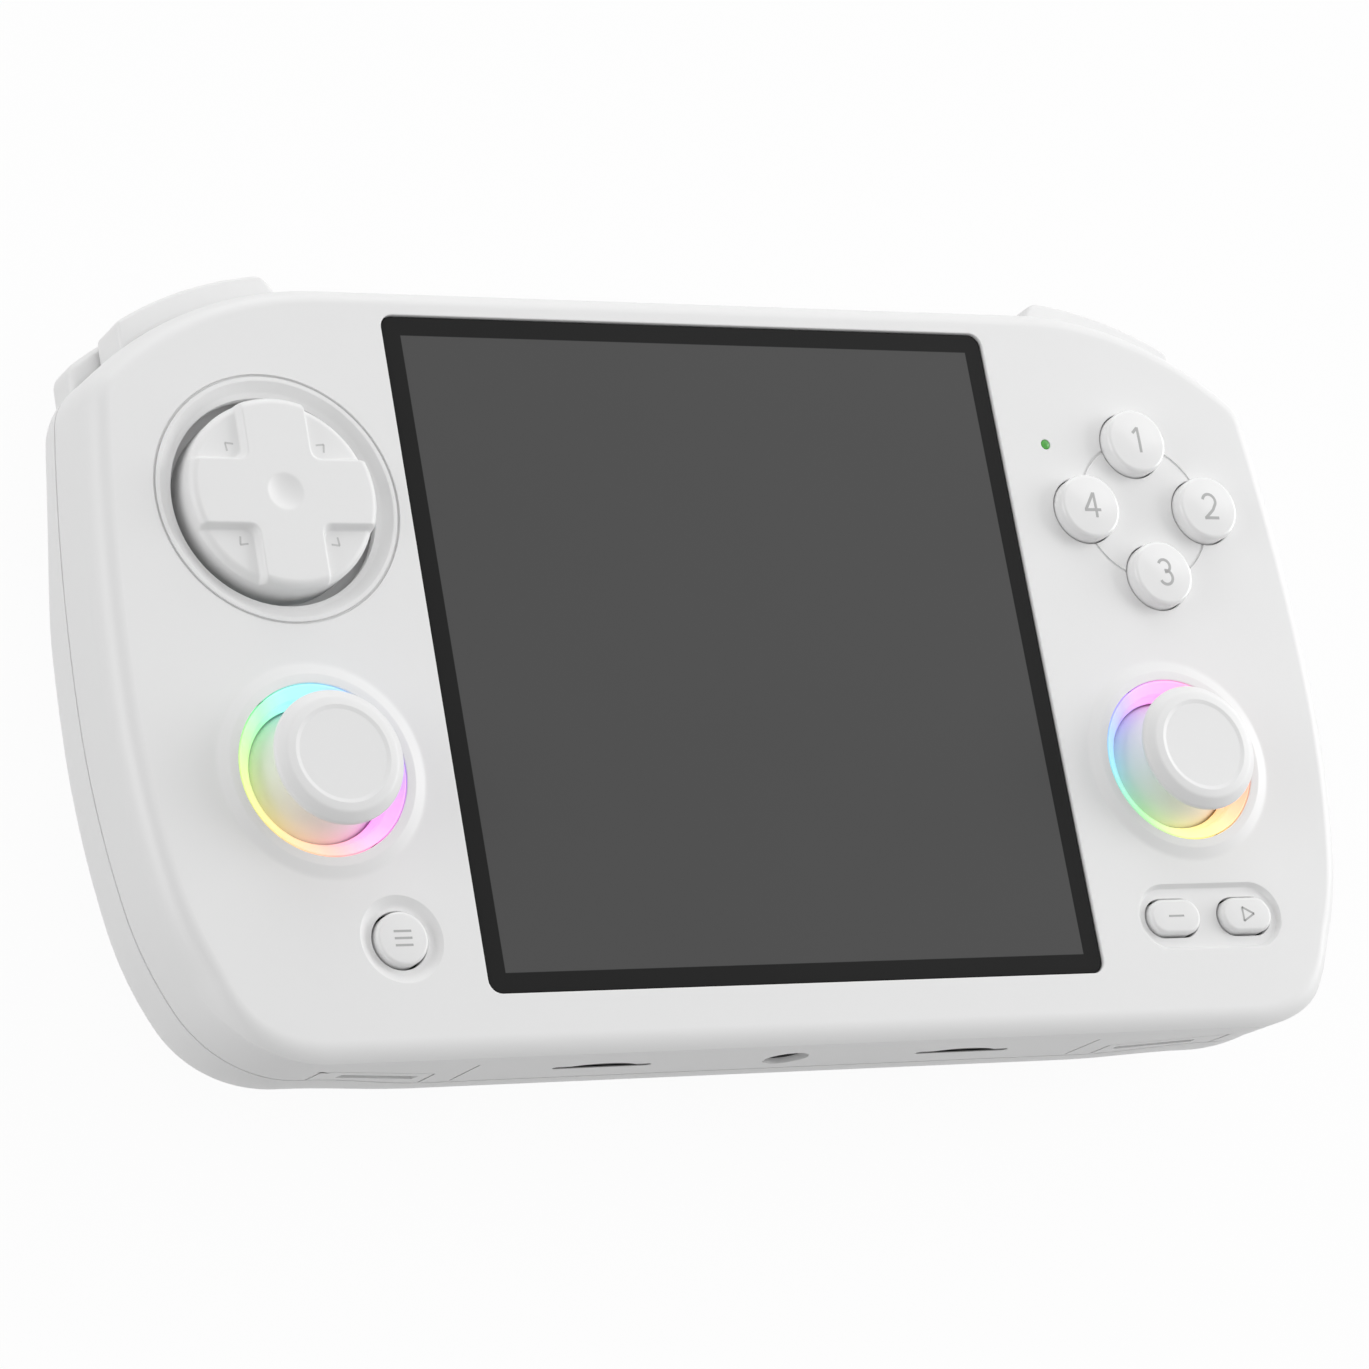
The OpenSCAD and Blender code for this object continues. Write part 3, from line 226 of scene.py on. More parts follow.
for nodeName in ("left_card_socket", "right_card_socket"):
    slotOf[nodeName] = "black"
for nodeName, nodeObject in frame["nodes"].items():
    nodeObject.data.materials.clear()
    nodeObject.data.materials.append(slotMaterials[slotOf[nodeName]])
print("materials set on", len(frame["nodes"]), "nodes")


def gridFaces(rows, columns):
    # Quads between neighbouring rows, whose columns close on themselves
    row, column = np.meshgrid(np.arange(rows - 1), np.arange(columns), indexing="ij")
    after = (column + 1) % columns
    upper = row * columns
    lower = (row + 1) * columns
    quads = [upper + column, upper + after, lower + after, lower + column]
    return np.stack(quads, axis=-1).reshape(-1, 4).tolist()


def loft(rings, firstCap=False, lastCap=False):
    # Surface through rings of equal counts, with a flat cap on either end
    rows, columns = rings.shape[:2]
    faces = gridFaces(rows, columns)
    if firstCap:
        faces.append(list(range(columns)))
    if lastCap:
        faces.append(list(range((rows - 1) * columns, rows * columns)))
    return rings.reshape(-1, 3), faces


def joined(parts):
    starts = np.cumsum([0] + [len(points) for points, _ in parts])
    faces = [[index + start for index in face] for (_, own), start in zip(parts, starts) for face in own]
    return np.concatenate([points for points, _ in parts]), faces


def softLine(corners, steps=6):
    # Line through (distance, height, radius) corners, each rounded by an arc of its radius
    points = np.array([corner[:2] for corner in corners], float)
    line = [points[:1]]
    for before, corner, after, radius in zip(points, points[1:], points[2:], [c[2] for c in corners[1:-1]]):
        toBefore = (before - corner) / np.linalg.norm(before - corner)
        toAfter = (after - corner) / np.linalg.norm(after - corner)
        half = np.arccos(np.clip(toBefore @ toAfter, -1, 1)) / 2
        bisector = (toBefore + toAfter) / np.linalg.norm(toBefore + toAfter)
        centre = corner + bisector * radius / np.sin(half)
        start = corner + toBefore * radius / np.tan(half) - centre
        end = corner + toAfter * radius / np.tan(half) - centre
        share = np.linspace(0, 1, steps + 1)[:, None]
        sweep = np.pi - 2 * half
        arc = np.sin((1 - share) * sweep) * start + np.sin(share * sweep) * end
        line.append(centre + arc / np.sin(sweep))
    line.append(points[-1:])
    return np.concatenate(line)


def unitCircle(count, first=0.0, last=2 * np.pi, endpoint=False):
    angle = np.linspace(first, last, count, endpoint=endpoint)
    return np.stack([np.cos(angle), np.sin(angle)], axis=-1)


def circle(centre, count=96):
    # Circles of the given radii round a centre
    return lambda reach: np.asarray(centre) + np.asarray(reach)[:, None, None] * unitCircle(count)


def stadium(centre, length, width, count=24):
    # Straight bars with round ends, drawn in by the given insets
    quarter = np.pi / 2
    ends = np.concatenate([unitCircle(count, -quarter, quarter, True),
                           unitCircle(count, quarter, 3 * quarter, True)])
    middles = np.repeat([[(length - width) / 2, 0], [(width - length) / 2, 0]], count, axis=0)
    middles = middles + np.asarray(centre)
    return lambda inset: middles + (width / 2 - np.asarray(inset))[:, None, None] * ends


def roundedBox(halfWidth, halfHeight, radius, count=7, least=0.25):
    # Rectangles with round corners, drawn in by the given insets, whose corners stay a little round
    quarter = np.pi / 2
    turns = np.concatenate([unitCircle(count, corner * quarter, (corner + 1) * quarter, True)
                            for corner in range(4)])
    signs = np.repeat([[1, 1], [-1, 1], [-1, -1], [1, -1]], count, axis=0)

    def rings(inset):
        drawn = np.asarray(inset, float)[:, None, None]
        own = np.maximum(radius - drawn, least)
        return signs * (np.array([halfWidth, halfHeight]) - drawn - own) + own * turns
    return rings


def skin(outlines, profile):
    # Profile carried round an outline: its first value sets the outline, its second the height
    flat = outlines(profile[:, 0])
    height = np.broadcast_to(profile[:, 1][:, None, None], flat.shape[:2] + (1,))
    return np.concatenate([flat, height], axis=-1)


def fill(loops, height):
    # Flat face at one height between an outer loop, given first, and the loops of its holes
    points = np.concatenate(loops)
    starts = np.cumsum([0] + [len(loop) for loop in loops])
    edges = [np.stack([np.arange(len(loop)), (np.arange(len(loop)) + 1) % len(loop)], axis=-1) + start
             for loop, start in zip(loops, starts)]
    found = geometry.delaunay_2d_cdt(points.tolist(), np.concatenate(edges).tolist(), [], 1, 1e-6)
    faces = np.array(found[2])
    # Holes are convex, so a triangle with all its corners on one hole's loop lies in that hole
    loopOf = np.repeat(np.arange(len(loops)), [len(loop) for loop in loops])[faces]
    inHole = (loopOf[:, 0] > 0) & (loopOf == loopOf[:, :1]).all(axis=1)
    return np.column_stack([points, np.full(len(points), height)]), faces[~inHole].tolist()


def newMesh(name, shape):
    points, faces = shape
    mesh = bpy.data.meshes.new(name)
    mesh.from_pydata(((points + faceOrigin) * mm).tolist(), [], faces)
    return mesh


def cleaned(mesh, sharpAngle=38.0, weld=2e-6):
    # Weld seams and poles, turn the faces outward, and shade smooth between the sharp edges
    work = bmesh.new()
    work.from_mesh(mesh)
    bmesh.ops.remove_doubles(work, verts=work.verts, dist=weld)
    bmesh.ops.dissolve_degenerate(work, edges=work.edges, dist=weld / 2)
    bmesh.ops.recalc_face_normals(work, faces=work.faces)
    openEdges = sum(not edge.is_manifold for edge in work.edges)
    work.to_mesh(mesh)
    work.free()
    mesh.shade_smooth()
    mesh.set_sharp_from_angle(angle=np.radians(sharpAngle))
    if openEdges:
        print("open edges in", mesh.name, openEdges)
    return mesh


def addPiece(name, shape, material, bodyName, nodes=(), sharpAngle=38.0):
    piece = bpy.data.objects.new(name, cleaned(newMesh(name, shape), sharpAngle))
    bpy.context.scene.collection.objects.link(piece)
    piece.data.materials.append(material)
    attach(piece, bodyName)
    if nodes:
        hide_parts(*nodes)
    return piece


def carve(piece, cutters):
    # Take the cutters out of a piece and keep the result as its mesh
    toolName = piece.name + "_tool"
    tool = bpy.data.objects.new(toolName, cleaned(newMesh(toolName, joined(cutters))))
    bpy.context.scene.collection.objects.link(tool)
    boolean = piece.modifiers.new("carve", "BOOLEAN")
    boolean.object = tool
    boolean.solver = "MANIFOLD"
    evaluated = piece.evaluated_get(bpy.context.evaluated_depsgraph_get())
    result = bpy.data.meshes.new_from_object(evaluated)
    piece.modifiers.clear()
    piece.data = cleaned(result)
    bpy.data.objects.remove(tool)


# Outline of the body as a chain of arcs by heading, clockwise from the middle of the top wall
chain = {"headings": np.radians([0, 42, 83, 90, 100.2, 118, 180]), "topCorner": 40.0, "shoulder": 6.0,
         "lowSide": 118.0, "lowFlank": 38.0, "bottomCorner": 14.4, "least": 0.5,
         "steps": [22, 10, 10, 8, 8, 20], "topSteps": 20, "bottomSteps": 26}
arcHeadings = [np.linspace(start, end, count, endpoint=False) for start, end, count
               in zip(chain["headings"], chain["headings"][1:], chain["steps"])]
heading = np.concatenate([np.zeros(chain["topSteps"]), *arcHeadings,
                          np.full(chain["bottomSteps"] + 1, np.pi)])
topShare = np.ones(len(heading))
topShare[:chain["topSteps"]] = np.linspace(0, 1, chain["topSteps"], endpoint=False)
bottomShare = np.ones(len(heading))
bottomShare[-chain["bottomSteps"] - 1:] = np.linspace(1, 0, chain["bottomSteps"] + 1)


def mirrored(half):
    # Right half of a closed row and its mirror image, which shares the first and last columns
    left = half[:, -2:0:-1].copy()
    left[..., 0] *= -1
    return np.concatenate([half, left], axis=1)


def halfOutline(inset):
    # Right half of the outline, drawn in by an inset for each row or for each row and column; the third arc
    # takes up the height that the others leave
    drawn = np.asarray(inset, float)
    drawn = drawn[:, None] if drawn.ndim == 1 else drawn
    heads = chain["headings"]
    least = chain["least"]
    radii = [np.maximum(chain["topCorner"] - drawn, least), np.maximum(chain["shoulder"] - drawn, least),
             None, chain["lowSide"] - drawn, chain["lowFlank"] - drawn,
             np.maximum(chain["bottomCorner"] - drawn, least)]
    falls = np.cos(heads[:-1]) - np.cos(heads[1:])
    runs = np.sin(heads[1:]) - np.sin(heads[:-1])
    left = body["height"] - 2 * drawn - sum(radii[i] * falls[i] for i in (0, 1, 3, 4, 5))
    radii[2] = left / falls[2]
    x = (body["width"] / 2 - drawn - sum(radii[i] * runs[i] for i in range(3))) * topShare
    y = topY - drawn + 0 * heading
    for radius, start, end in zip(radii, heads, heads[1:]):
        reached = np.clip(heading, start, end)
        x = x + radius * (np.sin(reached) - np.sin(start))
        y = y - radius * (np.cos(start) - np.cos(reached))
    return np.stack([x * bottomShare, y], axis=-1)


def ease(start, end, value):
    share = np.clip((value - start) / (end - start), 0, 1)
    return share * share * (3 - 2 * share)


def swell(points):
    # Rise at the back: none at the middle and the top, full on the grips and along the bottom edge
    grip = {"inner": 34.0, "outer": 52.0, "high": 24.0, "low": 0.0, "crown": 1.3, "foot": (-22.5, -30.0)}
    across = ease(grip["inner"], grip["outer"], np.abs(points[..., 0]))
    down = ease(grip["high"], grip["low"], points[..., 1])
    foot = ease(*grip["foot"], points[..., 1])
    return body["grip"] * np.maximum(np.minimum(1, grip["crown"] * across * down), foot)


halfLine = halfOutline([0.0])[0]
# The parting line dips along the bottom wall, and the lips of both shells meet a share of its gap apart
parting = {"dip": 3.0, "below": -30.0, "from": 40.5, "to": 55.7, "groove": 0.5, "gap": 0.15, "lip": 0.9}
partDepth = body["frontDepth"] + parting["dip"] * (halfLine[:, 1] < parting["below"]) \
    * (1 - ease(parting["from"], parting["to"], halfLine[:, 0]))

# Along the bottom the face bends in a shallow arc down to a crease, which stands out from the wall
crease = {"radius": 3.1, "turn": np.pi / 4, "depth": 0.908, "out": 0.7, "rows": (-34.0, -42.5)}
atBottom = ease(*crease["rows"], halfLine[:, 1])


def wallInset(depth):
    # Inset of the wall at a depth below the face: drafted, and along the bottom leaning out to its crease
    wallHeight = body["frontDepth"] - body["edgeDepth"]
    drafted = body["draft"] * np.maximum(body["frontDepth"] - depth, 0) / wallHeight
    leaning = -crease["out"] * (partDepth - depth) / (partDepth - crease["depth"])
    return drafted * (1 - atBottom) + leaning * atBottom


def raised(flat, depth):
    return np.concatenate([flat, -np.broadcast_to(depth, flat.shape[:2])[..., None]], axis=-1)


# Front shell: a rim down to the parting line, a flat face with the wells in it, and a ceiling inside
dpad = {"centre": (-53.0, 16.5), "radius": 10.6, "well": 11.6, "slope": 12.2, "rim": 13.2, "groove": 13.8,
        "grooveWidth": 0.3, "grooveDepth": 0.4, "dish": 1.0, "flange": 12.4, "flangeZ": (-3.6, -4.2)}
faceKeys = {"centre": (55.05, 16.4), "pitch": 8.0, "hole": 3.96, "cap": 3.84, "top": 1.9, "sag": 0.28,
            "edge": 0.5, "link": 8.27, "linkWidth": 0.3, "linkDepth": 0.22, "numeral": 3.0, "line": 0.34}
lamp = {"centre": (43.7, 24.4), "radius": 0.55, "play": 0.05}
sticks = {"x": 52.85, "y": -13.4, "ring": 9.4, "crest": 10.4, "collar": 11.7, "rise": 0.45}
menuKey = {"centre": (-46.8, -31.6), "hole": 3.15, "dish": 4.7, "depth": 0.6, "cap": 2.9, "top": 0.35,
           "sag": 0.1, "edge": 0.4, "barHalf": 1.0, "barPitch": 0.75, "line": 0.24}
pairKeys = {"centre": (53.0, -31.6), "pitch": 9.54, "length": 7.1, "width": 4.5, "rim": 1.58, "depth": 0.6,
            "play": 0.5, "top": 0.32, "endTrim": 0.8, "line": 0.22}
screen = {"half": 37.735, "window": 36.435, "ledge": 1.25, "corner": 1.5}
capFoot = -2.2
soft = 0.05


def rimRows():
    # Face edge as a quarter ellipse, or along the bottom as the arc, then the wall, the lip and the inside
    turn = np.linspace(0, np.pi / 2, 13)[:, None]
    bend = turn * crease["turn"] / (np.pi / 2)
    ellipse = body["draft"] + body["edgeWidth"] * (1 - np.sin(turn))
    arc = crease["radius"] * (np.sin(crease["turn"]) - np.sin(bend)) - crease["out"]
    edge = ellipse * (1 - atBottom) + arc * atBottom
    edgeDepth = body["edgeDepth"] * (1 - np.cos(turn)) * (1 - atBottom) \
        + crease["radius"] * (1 - np.cos(bend)) * atBottom
    rows = [raised(halfOutline(edge[:1] + soft), 0.0)]
    rows.append(raised(halfOutline(edge), edgeDepth))
    share = np.linspace(0, 1, 9)[1:, None]
    depth = edgeDepth[-1:] + (partDepth - parting["gap"] - edgeDepth[-1:]) * share
    rows.append(raised(halfOutline(wallInset(depth)), depth))
    lip = depth[-1:] + parting["gap"] * parting["lip"]
    rows.append(raised(halfOutline(wallInset(lip) + parting["groove"]), lip))
    rows.append(raised(halfOutline(wallInset(lip) + body["wall"]), lip))
    turn = np.linspace(0, np.pi / 2, 7)
    inside = body["draft"] + body["wall"] + (body["edgeWidth"] - body["wall"]) * (1 - np.cos(turn))
    insideDepth = body["edgeDepth"] - (body["edgeDepth"] - body["wall"]) * np.sin(turn)
    rows.append(raised(halfOutline(inside), insideDepth[:, None]))
    rows.append(raised(halfOutline(inside[-1:] + soft), body["wall"]))
    return mirrored(np.concatenate(rows))


def wellRows():
    floor = -body["wall"]
    outer = dpad["groove"] + dpad["grooveWidth"] / 2
    inner = dpad["groove"] - dpad["grooveWidth"] / 2
    low = -dpad["grooveDepth"]
    pad = softLine([(outer + 2 * soft, 0, 0), (outer, 0, 0.03), (outer, low, 0.03), (inner, low, 0.03),
                    (inner, 0, 0.03), (dpad["rim"], 0, 0.25), (dpad["slope"], -0.75 * dpad["dish"], 0.8),
                    (dpad["well"], -dpad["dish"], 0.1), (dpad["well"], floor, 0)])
    keyHole = faceKeys["hole"]
    key = softLine([(keyHole + 0.2, 0, 0), (keyHole, 0, 0.14), (keyHole, floor, 0)])
    lampHole = lamp["radius"] + lamp["play"]
    light = softLine([(lampHole + 0.15, 0, 0), (lampHole, 0, 0.08), (lampHole, floor, 0)])
    collar = softLine([(sticks["collar"] + 0.5, 0, 0), (sticks["collar"], 0, 1.6),
                       (sticks["crest"], sticks["rise"], 0.7), (sticks["ring"], sticks["rise"], 0.12),
                       (sticks["ring"], floor, 0)], 8)
    menuHole, menuFloor = menuKey["hole"], -menuKey["depth"]
    dish = softLine([(menuKey["dish"] + 0.3, 0, 0), (menuKey["dish"], 0, 0.15),
                     (menuHole + 0.5, menuFloor, 1.2), (menuHole, menuFloor, 0.1), (menuHole, floor, 0)], 8)
    ledge = screen["half"] - screen["window"]
    recess = softLine([(-0.2, 0), (0, 0, 0.12), (0, -screen["ledge"], 0.02),
                       (ledge, -screen["ledge"], 0.02), (ledge, floor)], 4)
    wells = [skin(circle(dpad["centre"], 180), pad)]
    wells += [skin(circle(place), key) for place in keyPlaces]
    wells.append(skin(circle(lamp["centre"], 24), light))
    wells += [skin(circle((side * sticks["x"], sticks["y"]), 144), collar) for side in (-1, 1)]
    wells.append(skin(circle(menuKey["centre"]), dish))
    wells.append(skin(roundedBox(screen["half"], screen["half"], screen["corner"]), recess))
    return wells


def pairRecess():
    # Stadium recess with a round shoulder, whose flat floor holds the two button holes
    rim = pairKeys["rim"]
    depth = pairKeys["depth"]
    length = pairKeys["pitch"] + pairKeys["length"] + 2 * rim - pairKeys["endTrim"]
    side = softLine([(-0.3, 0, 0), (0.05, 0, 0.12), (0.45, -depth, 0.2), (0.9, -depth, 0)])
    sideRows = skin(stadium(pairKeys["centre"], length, pairKeys["width"] + 2 * rim), side)
    hole = softLine([(-0.15, -depth, 0), (0, -depth, 0.1), (0, -body["wall"], 0)])
    holes = [skin(stadium(place, pairKeys["length"], pairKeys["width"]), hole) for place in pairPlaces]
    return sideRows, holes


def prism(points, low, high, across=False):
    # Solid on a flat outline: raised along z, or along y where the outline lies in x and z
    flat = np.asarray(points, float)
    ends = np.stack([np.column_stack([flat, np.full(len(flat), height)]) for height in (low, high)])
    return loft(ends[..., [0, 2, 1]] if across else ends, True, True)


def stroke(points, width):
    # Outline of a straight line of even width between two points
    start, end = np.asarray(points, float)
    along = (end - start) / np.linalg.norm(end - start)
    side = np.array([-along[1], along[0]]) * width / 2
    return [start - side, end - side, end + side, start + side]


shoulder = {"corner": chain["topCorner"], "out": 2.6, "in": 2.4, "start": 2.0, "slantTop": 7.0,
            "bumperZ": (-10.2, -4.4), "triggerZ": (-15.7, -10.7), "bumperEnd": 22.0, "triggerEnd": 25.4,
            "play": 0.25, "startGap": 0.2, "slantFrom": 0.3, "windowOut": 1.5, "windowIn": 5.0,
            "windowGap": 0.4}
cornerX = halfLine[chain["topSteps"], 0]
cornerY = topY - shoulder["corner"]


def band(sections, starts, ends, along):
    # Sections of radius and height carried round the right corner, between two angles at each radius
    radius = sections[..., 0]
    angle = starts(radius) + (ends(radius) - starts(radius)) * along[:, None]
    points = [cornerX + radius * np.sin(angle), cornerY + radius * np.cos(angle), sections[..., 1]]
    return np.stack(points, axis=-1)


def squareEnd(reach):
    # Angle at which each radius meets a plane of constant x
    return lambda radius: np.arcsin(reach / radius)


def shoulderWindow(end, low, high):
    # Cutter for the gap that a shoulder button swings in
    far = shoulder["corner"] + shoulder["out"] + shoulder["windowOut"]
    near = shoulder["corner"] - shoulder["windowIn"]
    section = np.array([[near, low], [far, low], [far, high], [near, high]])
    along = np.linspace(0, 1, 40)
    start = np.radians(shoulder["start"] - shoulder["windowGap"])
    sections = np.broadcast_to(section, (len(along), *section.shape))
    return band(sections, lambda radius: start + 0 * radius, squareEnd(end), along)


def bothSides(rings):
    flipped = rings * np.array([-1, 1, 1])
    return [loft(rings, True, True), loft(flipped, True, True)]


keyPlaces = [np.array(faceKeys["centre"]) + faceKeys["pitch"] * np.array(turn)
             for turn in ((0, 1), (1, 0), (0, -1), (-1, 0))]
pairPlaces = [np.array(pairKeys["centre"]) + [side * pairKeys["pitch"] / 2, 0] for side in (-1, 1)]

rim = rimRows()
wells = wellRows()
pairSide, pairHoles = pairRecess()
face = fill([rim[0, :, :2]] + [well[0, :, :2] for well in wells] + [pairSide[0, :, :2]], 0.0)
pairFloor = fill([pairSide[-1, :, :2]] + [hole[0, :, :2] for hole in pairHoles], -pairKeys["depth"])
ceiling = fill([rim[-1, :, :2]] + [well[-1, :, :2] for well in wells + pairHoles], -body["wall"])
frontParts = [loft(rim), face, pairFloor, ceiling] + [loft(well) for well in wells + [pairSide] + pairHoles]
frontShell = addPiece("front_case", joined(frontParts), whitePlastic, "console", ["front_shell"])
print("front shell drawn")

# Openings in the walls
ports = {"jack": (0.0, -7.3, 2.5), "card": 22.2, "cardWidth": 11.7, "cardZ": -7.4, "cardGap": 1.0,
         "usb": (8.0, 9.2, 3.4), "video": (-8.0, 11.4, 3.4), "portZ": -6.6, "keys": (26.0, -29.0, -20.0),
         "keyLength": 6.0, "keyWidth": 2.2, "keyZ": -6.6, "keyOut": 0.55, "keyPlay": 0.5,
         "keyFoot": -2.6}
cutter = {"out": 2.0, "in": 3.5}
bottomLow, bottomHigh = bottomY - cutter["out"], bottomY + cutter["in"]
topLow, topHigh = topY - cutter["in"], topY + cutter["out"]
engraved = bottomY + 0.55
grilleFloor = engraved + 0.35
# Lines cut beside each speaker and its grille, as two ends in x and z and a width
speakerLines = [((38.1, -4.2), (38.1, -11.3), 0.26), ((41.6, -7.7), (41.6, -11.6), 0.3),
                ((55.7, -4.9), (55.7, -9.2), 0.3), ((41.6, -7.7), (55.7, -4.9), 0.14)]
speakerGrille = ((52.6, -7.5), (43.1, -9.2), 1.3)
cardNotch = {"half": 4.2, "height": 1.2, "over": 0.3, "under": 0.2}


def barOutline(x, z, length, width):
    return stadium((x, z), length, width)(np.zeros(1))[0]


def wallOpenings():
    x, z, radius = ports["jack"]
    cuts = [prism(circle((x, z), 48)([radius])[0], bottomLow, bottomHigh, True)]
    for side in (-1, 1):
        slot = barOutline(side * ports["card"], ports["cardZ"], ports["cardWidth"], ports["cardGap"])
        cuts.append(prism(slot, bottomLow, bottomHigh, True))
        for *ends, width in speakerLines:
            cuts.append(prism(stroke(np.array(ends) * [side, 1], width), bottomLow, engraved, True))
        *ends, width = speakerGrille
        cuts.append(prism(stroke(np.array(ends) * [side, 1], width), bottomLow, grilleFloor, True))
    for x, length, width in (ports["usb"], ports["video"]):
        cuts.append(prism(barOutline(x, ports["portZ"], length, width), topLow, topHigh, True))
    for x in ports["keys"]:
        hole = barOutline(x, ports["keyZ"], ports["keyLength"] + ports["keyPlay"],
                          ports["keyWidth"] + ports["keyPlay"])
        cuts.append(prism(hole, topLow, topHigh, True))
    return cuts


def cardScoops(inset, low, high):
    # Lens over the middle of each card slot: a low arch that a fingertip presses the card through
    half = cardNotch["half"] - inset
    height = cardNotch["height"] - inset
    baseZ = ports["cardZ"] - cardNotch["under"]
    share = np.linspace(-1, 1, 25)
    arch = np.column_stack([share * half, ports["cardZ"] + cardNotch["over"] + height * (1 - share * share)])
    base = [[half, baseZ], [-half, baseZ]]
    return [prism(np.concatenate([arch, base]) + [side * ports["card"], 0], low, high, True)
            for side in (-1, 1)]


def linkGroove():
    # Shallow ring that joins the four round buttons
    inner = faceKeys["link"] - faceKeys["linkWidth"] / 2
    outer = faceKeys["link"] + faceKeys["linkWidth"] / 2
    low, high = -faceKeys["linkDepth"], 0.5
    profile = np.array([[inner, high], [outer, high], [outer, low], [inner, low], [inner, high]])
    return loft(skin(circle(faceKeys["centre"], 144), profile))


play = shoulder["play"]
bumperLow, bumperHigh = shoulder["bumperZ"]
windows = bothSides(shoulderWindow(shoulder["bumperEnd"] + play, bumperLow - play, bumperHigh + play))
lowWindows = bothSides(shoulderWindow(shoulder["triggerEnd"] + play, shoulder["triggerZ"][0] - play,
                                      bumperLow - play / 2))
carve(frontShell, wallOpenings() + [linkGroove()] + windows)
carve(frontShell, cardScoops(0.0, bottomLow, bottomHigh))
print("front shell carved")

# Rear shell: the parting line, an elliptic wall and a floor that swells into two grips and a foot
rearScrews = [(side * x, y) for side in (-1, 1) for x, y in ((38.94, 36.66), (36.2, -39.59))]
screwWell = {"radius": 2.0, "wall": 2.4, "bore": 1.1, "seat": -13.0, "seatThick": 1.2, "past": -30.0}


def rearRows(inset, depth, rows, rings):
    # Wall from the parting line round to the floor, then rings drawn in to the middle of the floor
    turn = np.linspace(0, np.pi / 2, rows)
    flat = halfOutline(inset + body["rearRound"] * (1 - np.cos(turn)))
    start = partDepth + parting["gap"]
    full = body["frontDepth"] + depth + swell(flat)
    wall = raised(flat, start + (full - start) * np.sin(turn)[:, None])
    middle = np.array([0, -body["screenUp"]])
    shrink = np.linspace(1, 0.03, rings)[1:, None, None]
    floor = middle + (flat[-1:] - middle) * shrink
    return np.concatenate([wall, raised(floor, body["frontDepth"] + depth + swell(floor))])


def rearShape():
    outside = rearRows(0.0, body["rearDepth"], 22, 26)
    inside = rearRows(body["wall"], body["rearDepth"] - body["wall"], 10, 26)[::-1]
    lip = (partDepth + parting["gap"] * (1 - parting["lip"]))[None]
    innerLip = raised(halfOutline([body["wall"]]), lip)
    outerLip = raised(halfOutline([parting["groove"]]), lip)
    return loft(mirrored(np.concatenate([inside, innerLip, outerLip, outside])), True, True)


def wellTube(place):
    # Tube round a screw, from the seat down to the middle of the curved wall above it
    inset = min(topY - place[1], place[1] - bottomY)
    around = unitCircle(48)
    outward = np.sign(place[1])
    start = body["frontDepth"] + parting["dip"] * (place[1] < 0)
    half = body["wall"] / 2
    full = body["frontDepth"] + body["rearDepth"] - half + swell(np.array(place))

    def wallHeight(radius):
        reach = inset - radius * around[:, 1] * outward - half
        gone = np.clip(body["rearRound"] - reach, 0, body["rearRound"])
        return -start - (full - start) * np.sqrt(1 - (gone / body["rearRound"]) ** 2)
    bore, inner, outer = screwWell["bore"], screwWell["radius"], screwWell["wall"]
    seat = np.full(len(around), screwWell["seat"])
    base = seat + screwWell["seatThick"]
    rows = [(bore, seat), (bore, base), (outer, base), (outer, wallHeight(outer)), (inner, wallHeight(inner)),
            (inner, seat), (bore, seat)]
    rings = [np.column_stack([np.array(place) + radius * around, height]) for radius, height in rows]
    return loft(np.stack(rings))


rearShell = addPiece("rear_case", rearShape(), whitePlastic, "console", ["rear_shell"])
jackX, jackZ, jackRadius = ports["jack"]
wellLine = np.array([[screwWell["radius"], screwWell[end]] for end in ("seat", "past")])
wellCuts = [loft(skin(circle(place, 48), wellLine), True, True) for place in rearScrews]
jackCut = prism(circle((jackX, jackZ), 48)([jackRadius])[0], bottomLow, bottomHigh, True)
carve(rearShell, wellCuts + [jackCut] + windows)
carve(rearShell, lowWindows)
addPiece("screw_wells", joined([wellTube(place) for place in rearScrews]), whitePlastic, "console")
print("rear shell carved")

# Headphone socket: a pale funnel in the wall and a dark bore behind it, drawn round the plug's axis
funnel = {"outer": 2.42, "mouth": 2.35, "throat": 2.2, "front": -0.2, "cone": 0.25, "back": 0.4}
funnelLine = np.array([[funnel["outer"], funnel["front"]], [funnel["mouth"], funnel["front"]],
                       [funnel["throat"], funnel["cone"]], [funnel["throat"], funnel["back"]],
                       [funnel["outer"], funnel["back"]], [funnel["outer"], funnel["front"]]])
bore = {"radius": 1.8, "barrel": 2.4, "front": 0.45, "floor": 11.0, "back": 12.0}
boreLine = np.array([[0, bore["floor"]], [bore["radius"], bore["floor"]], [bore["radius"], bore["front"]],
                     [bore["barrel"], bore["front"]], [bore["barrel"], bore["back"]], [0, bore["back"]]])
for name, profile, material, slot, nodes in (
        ("jack_funnel", funnelLine, whitePlastic, "shell", []),
        ("jack_bore", boreLine, slotMaterials["black"], "black", ["headphone_jack"])):
    rings = skin(circle((jackX, jackZ), 64), profile)[..., [0, 2, 1]] + [0, bottomY, 0]
    addPiece(name, loft(rings), material, "console", nodes)

# Painted shade: a black lining a little behind the wall in each card slot and its finger notch, standing in
# for the shade deep inside the slots
shadeLining = {"play": 0.04, "front": bottomY - 0.2, "back": bottomY + 2.1}
slotShadeLining = cardScoops(shadeLining["play"], shadeLining["front"], shadeLining["back"])
for side in (-1, 1):
    slotOutline = barOutline(side * ports["card"], ports["cardZ"], ports["cardWidth"] - shadeLining["play"],
                             ports["cardGap"] - shadeLining["play"])
    slotShadeLining.append(prism(slotOutline, shadeLining["front"], shadeLining["back"], True))
addPiece("card_slot_painted_shade", joined(slotShadeLining), slotMaterials["black"], "console")

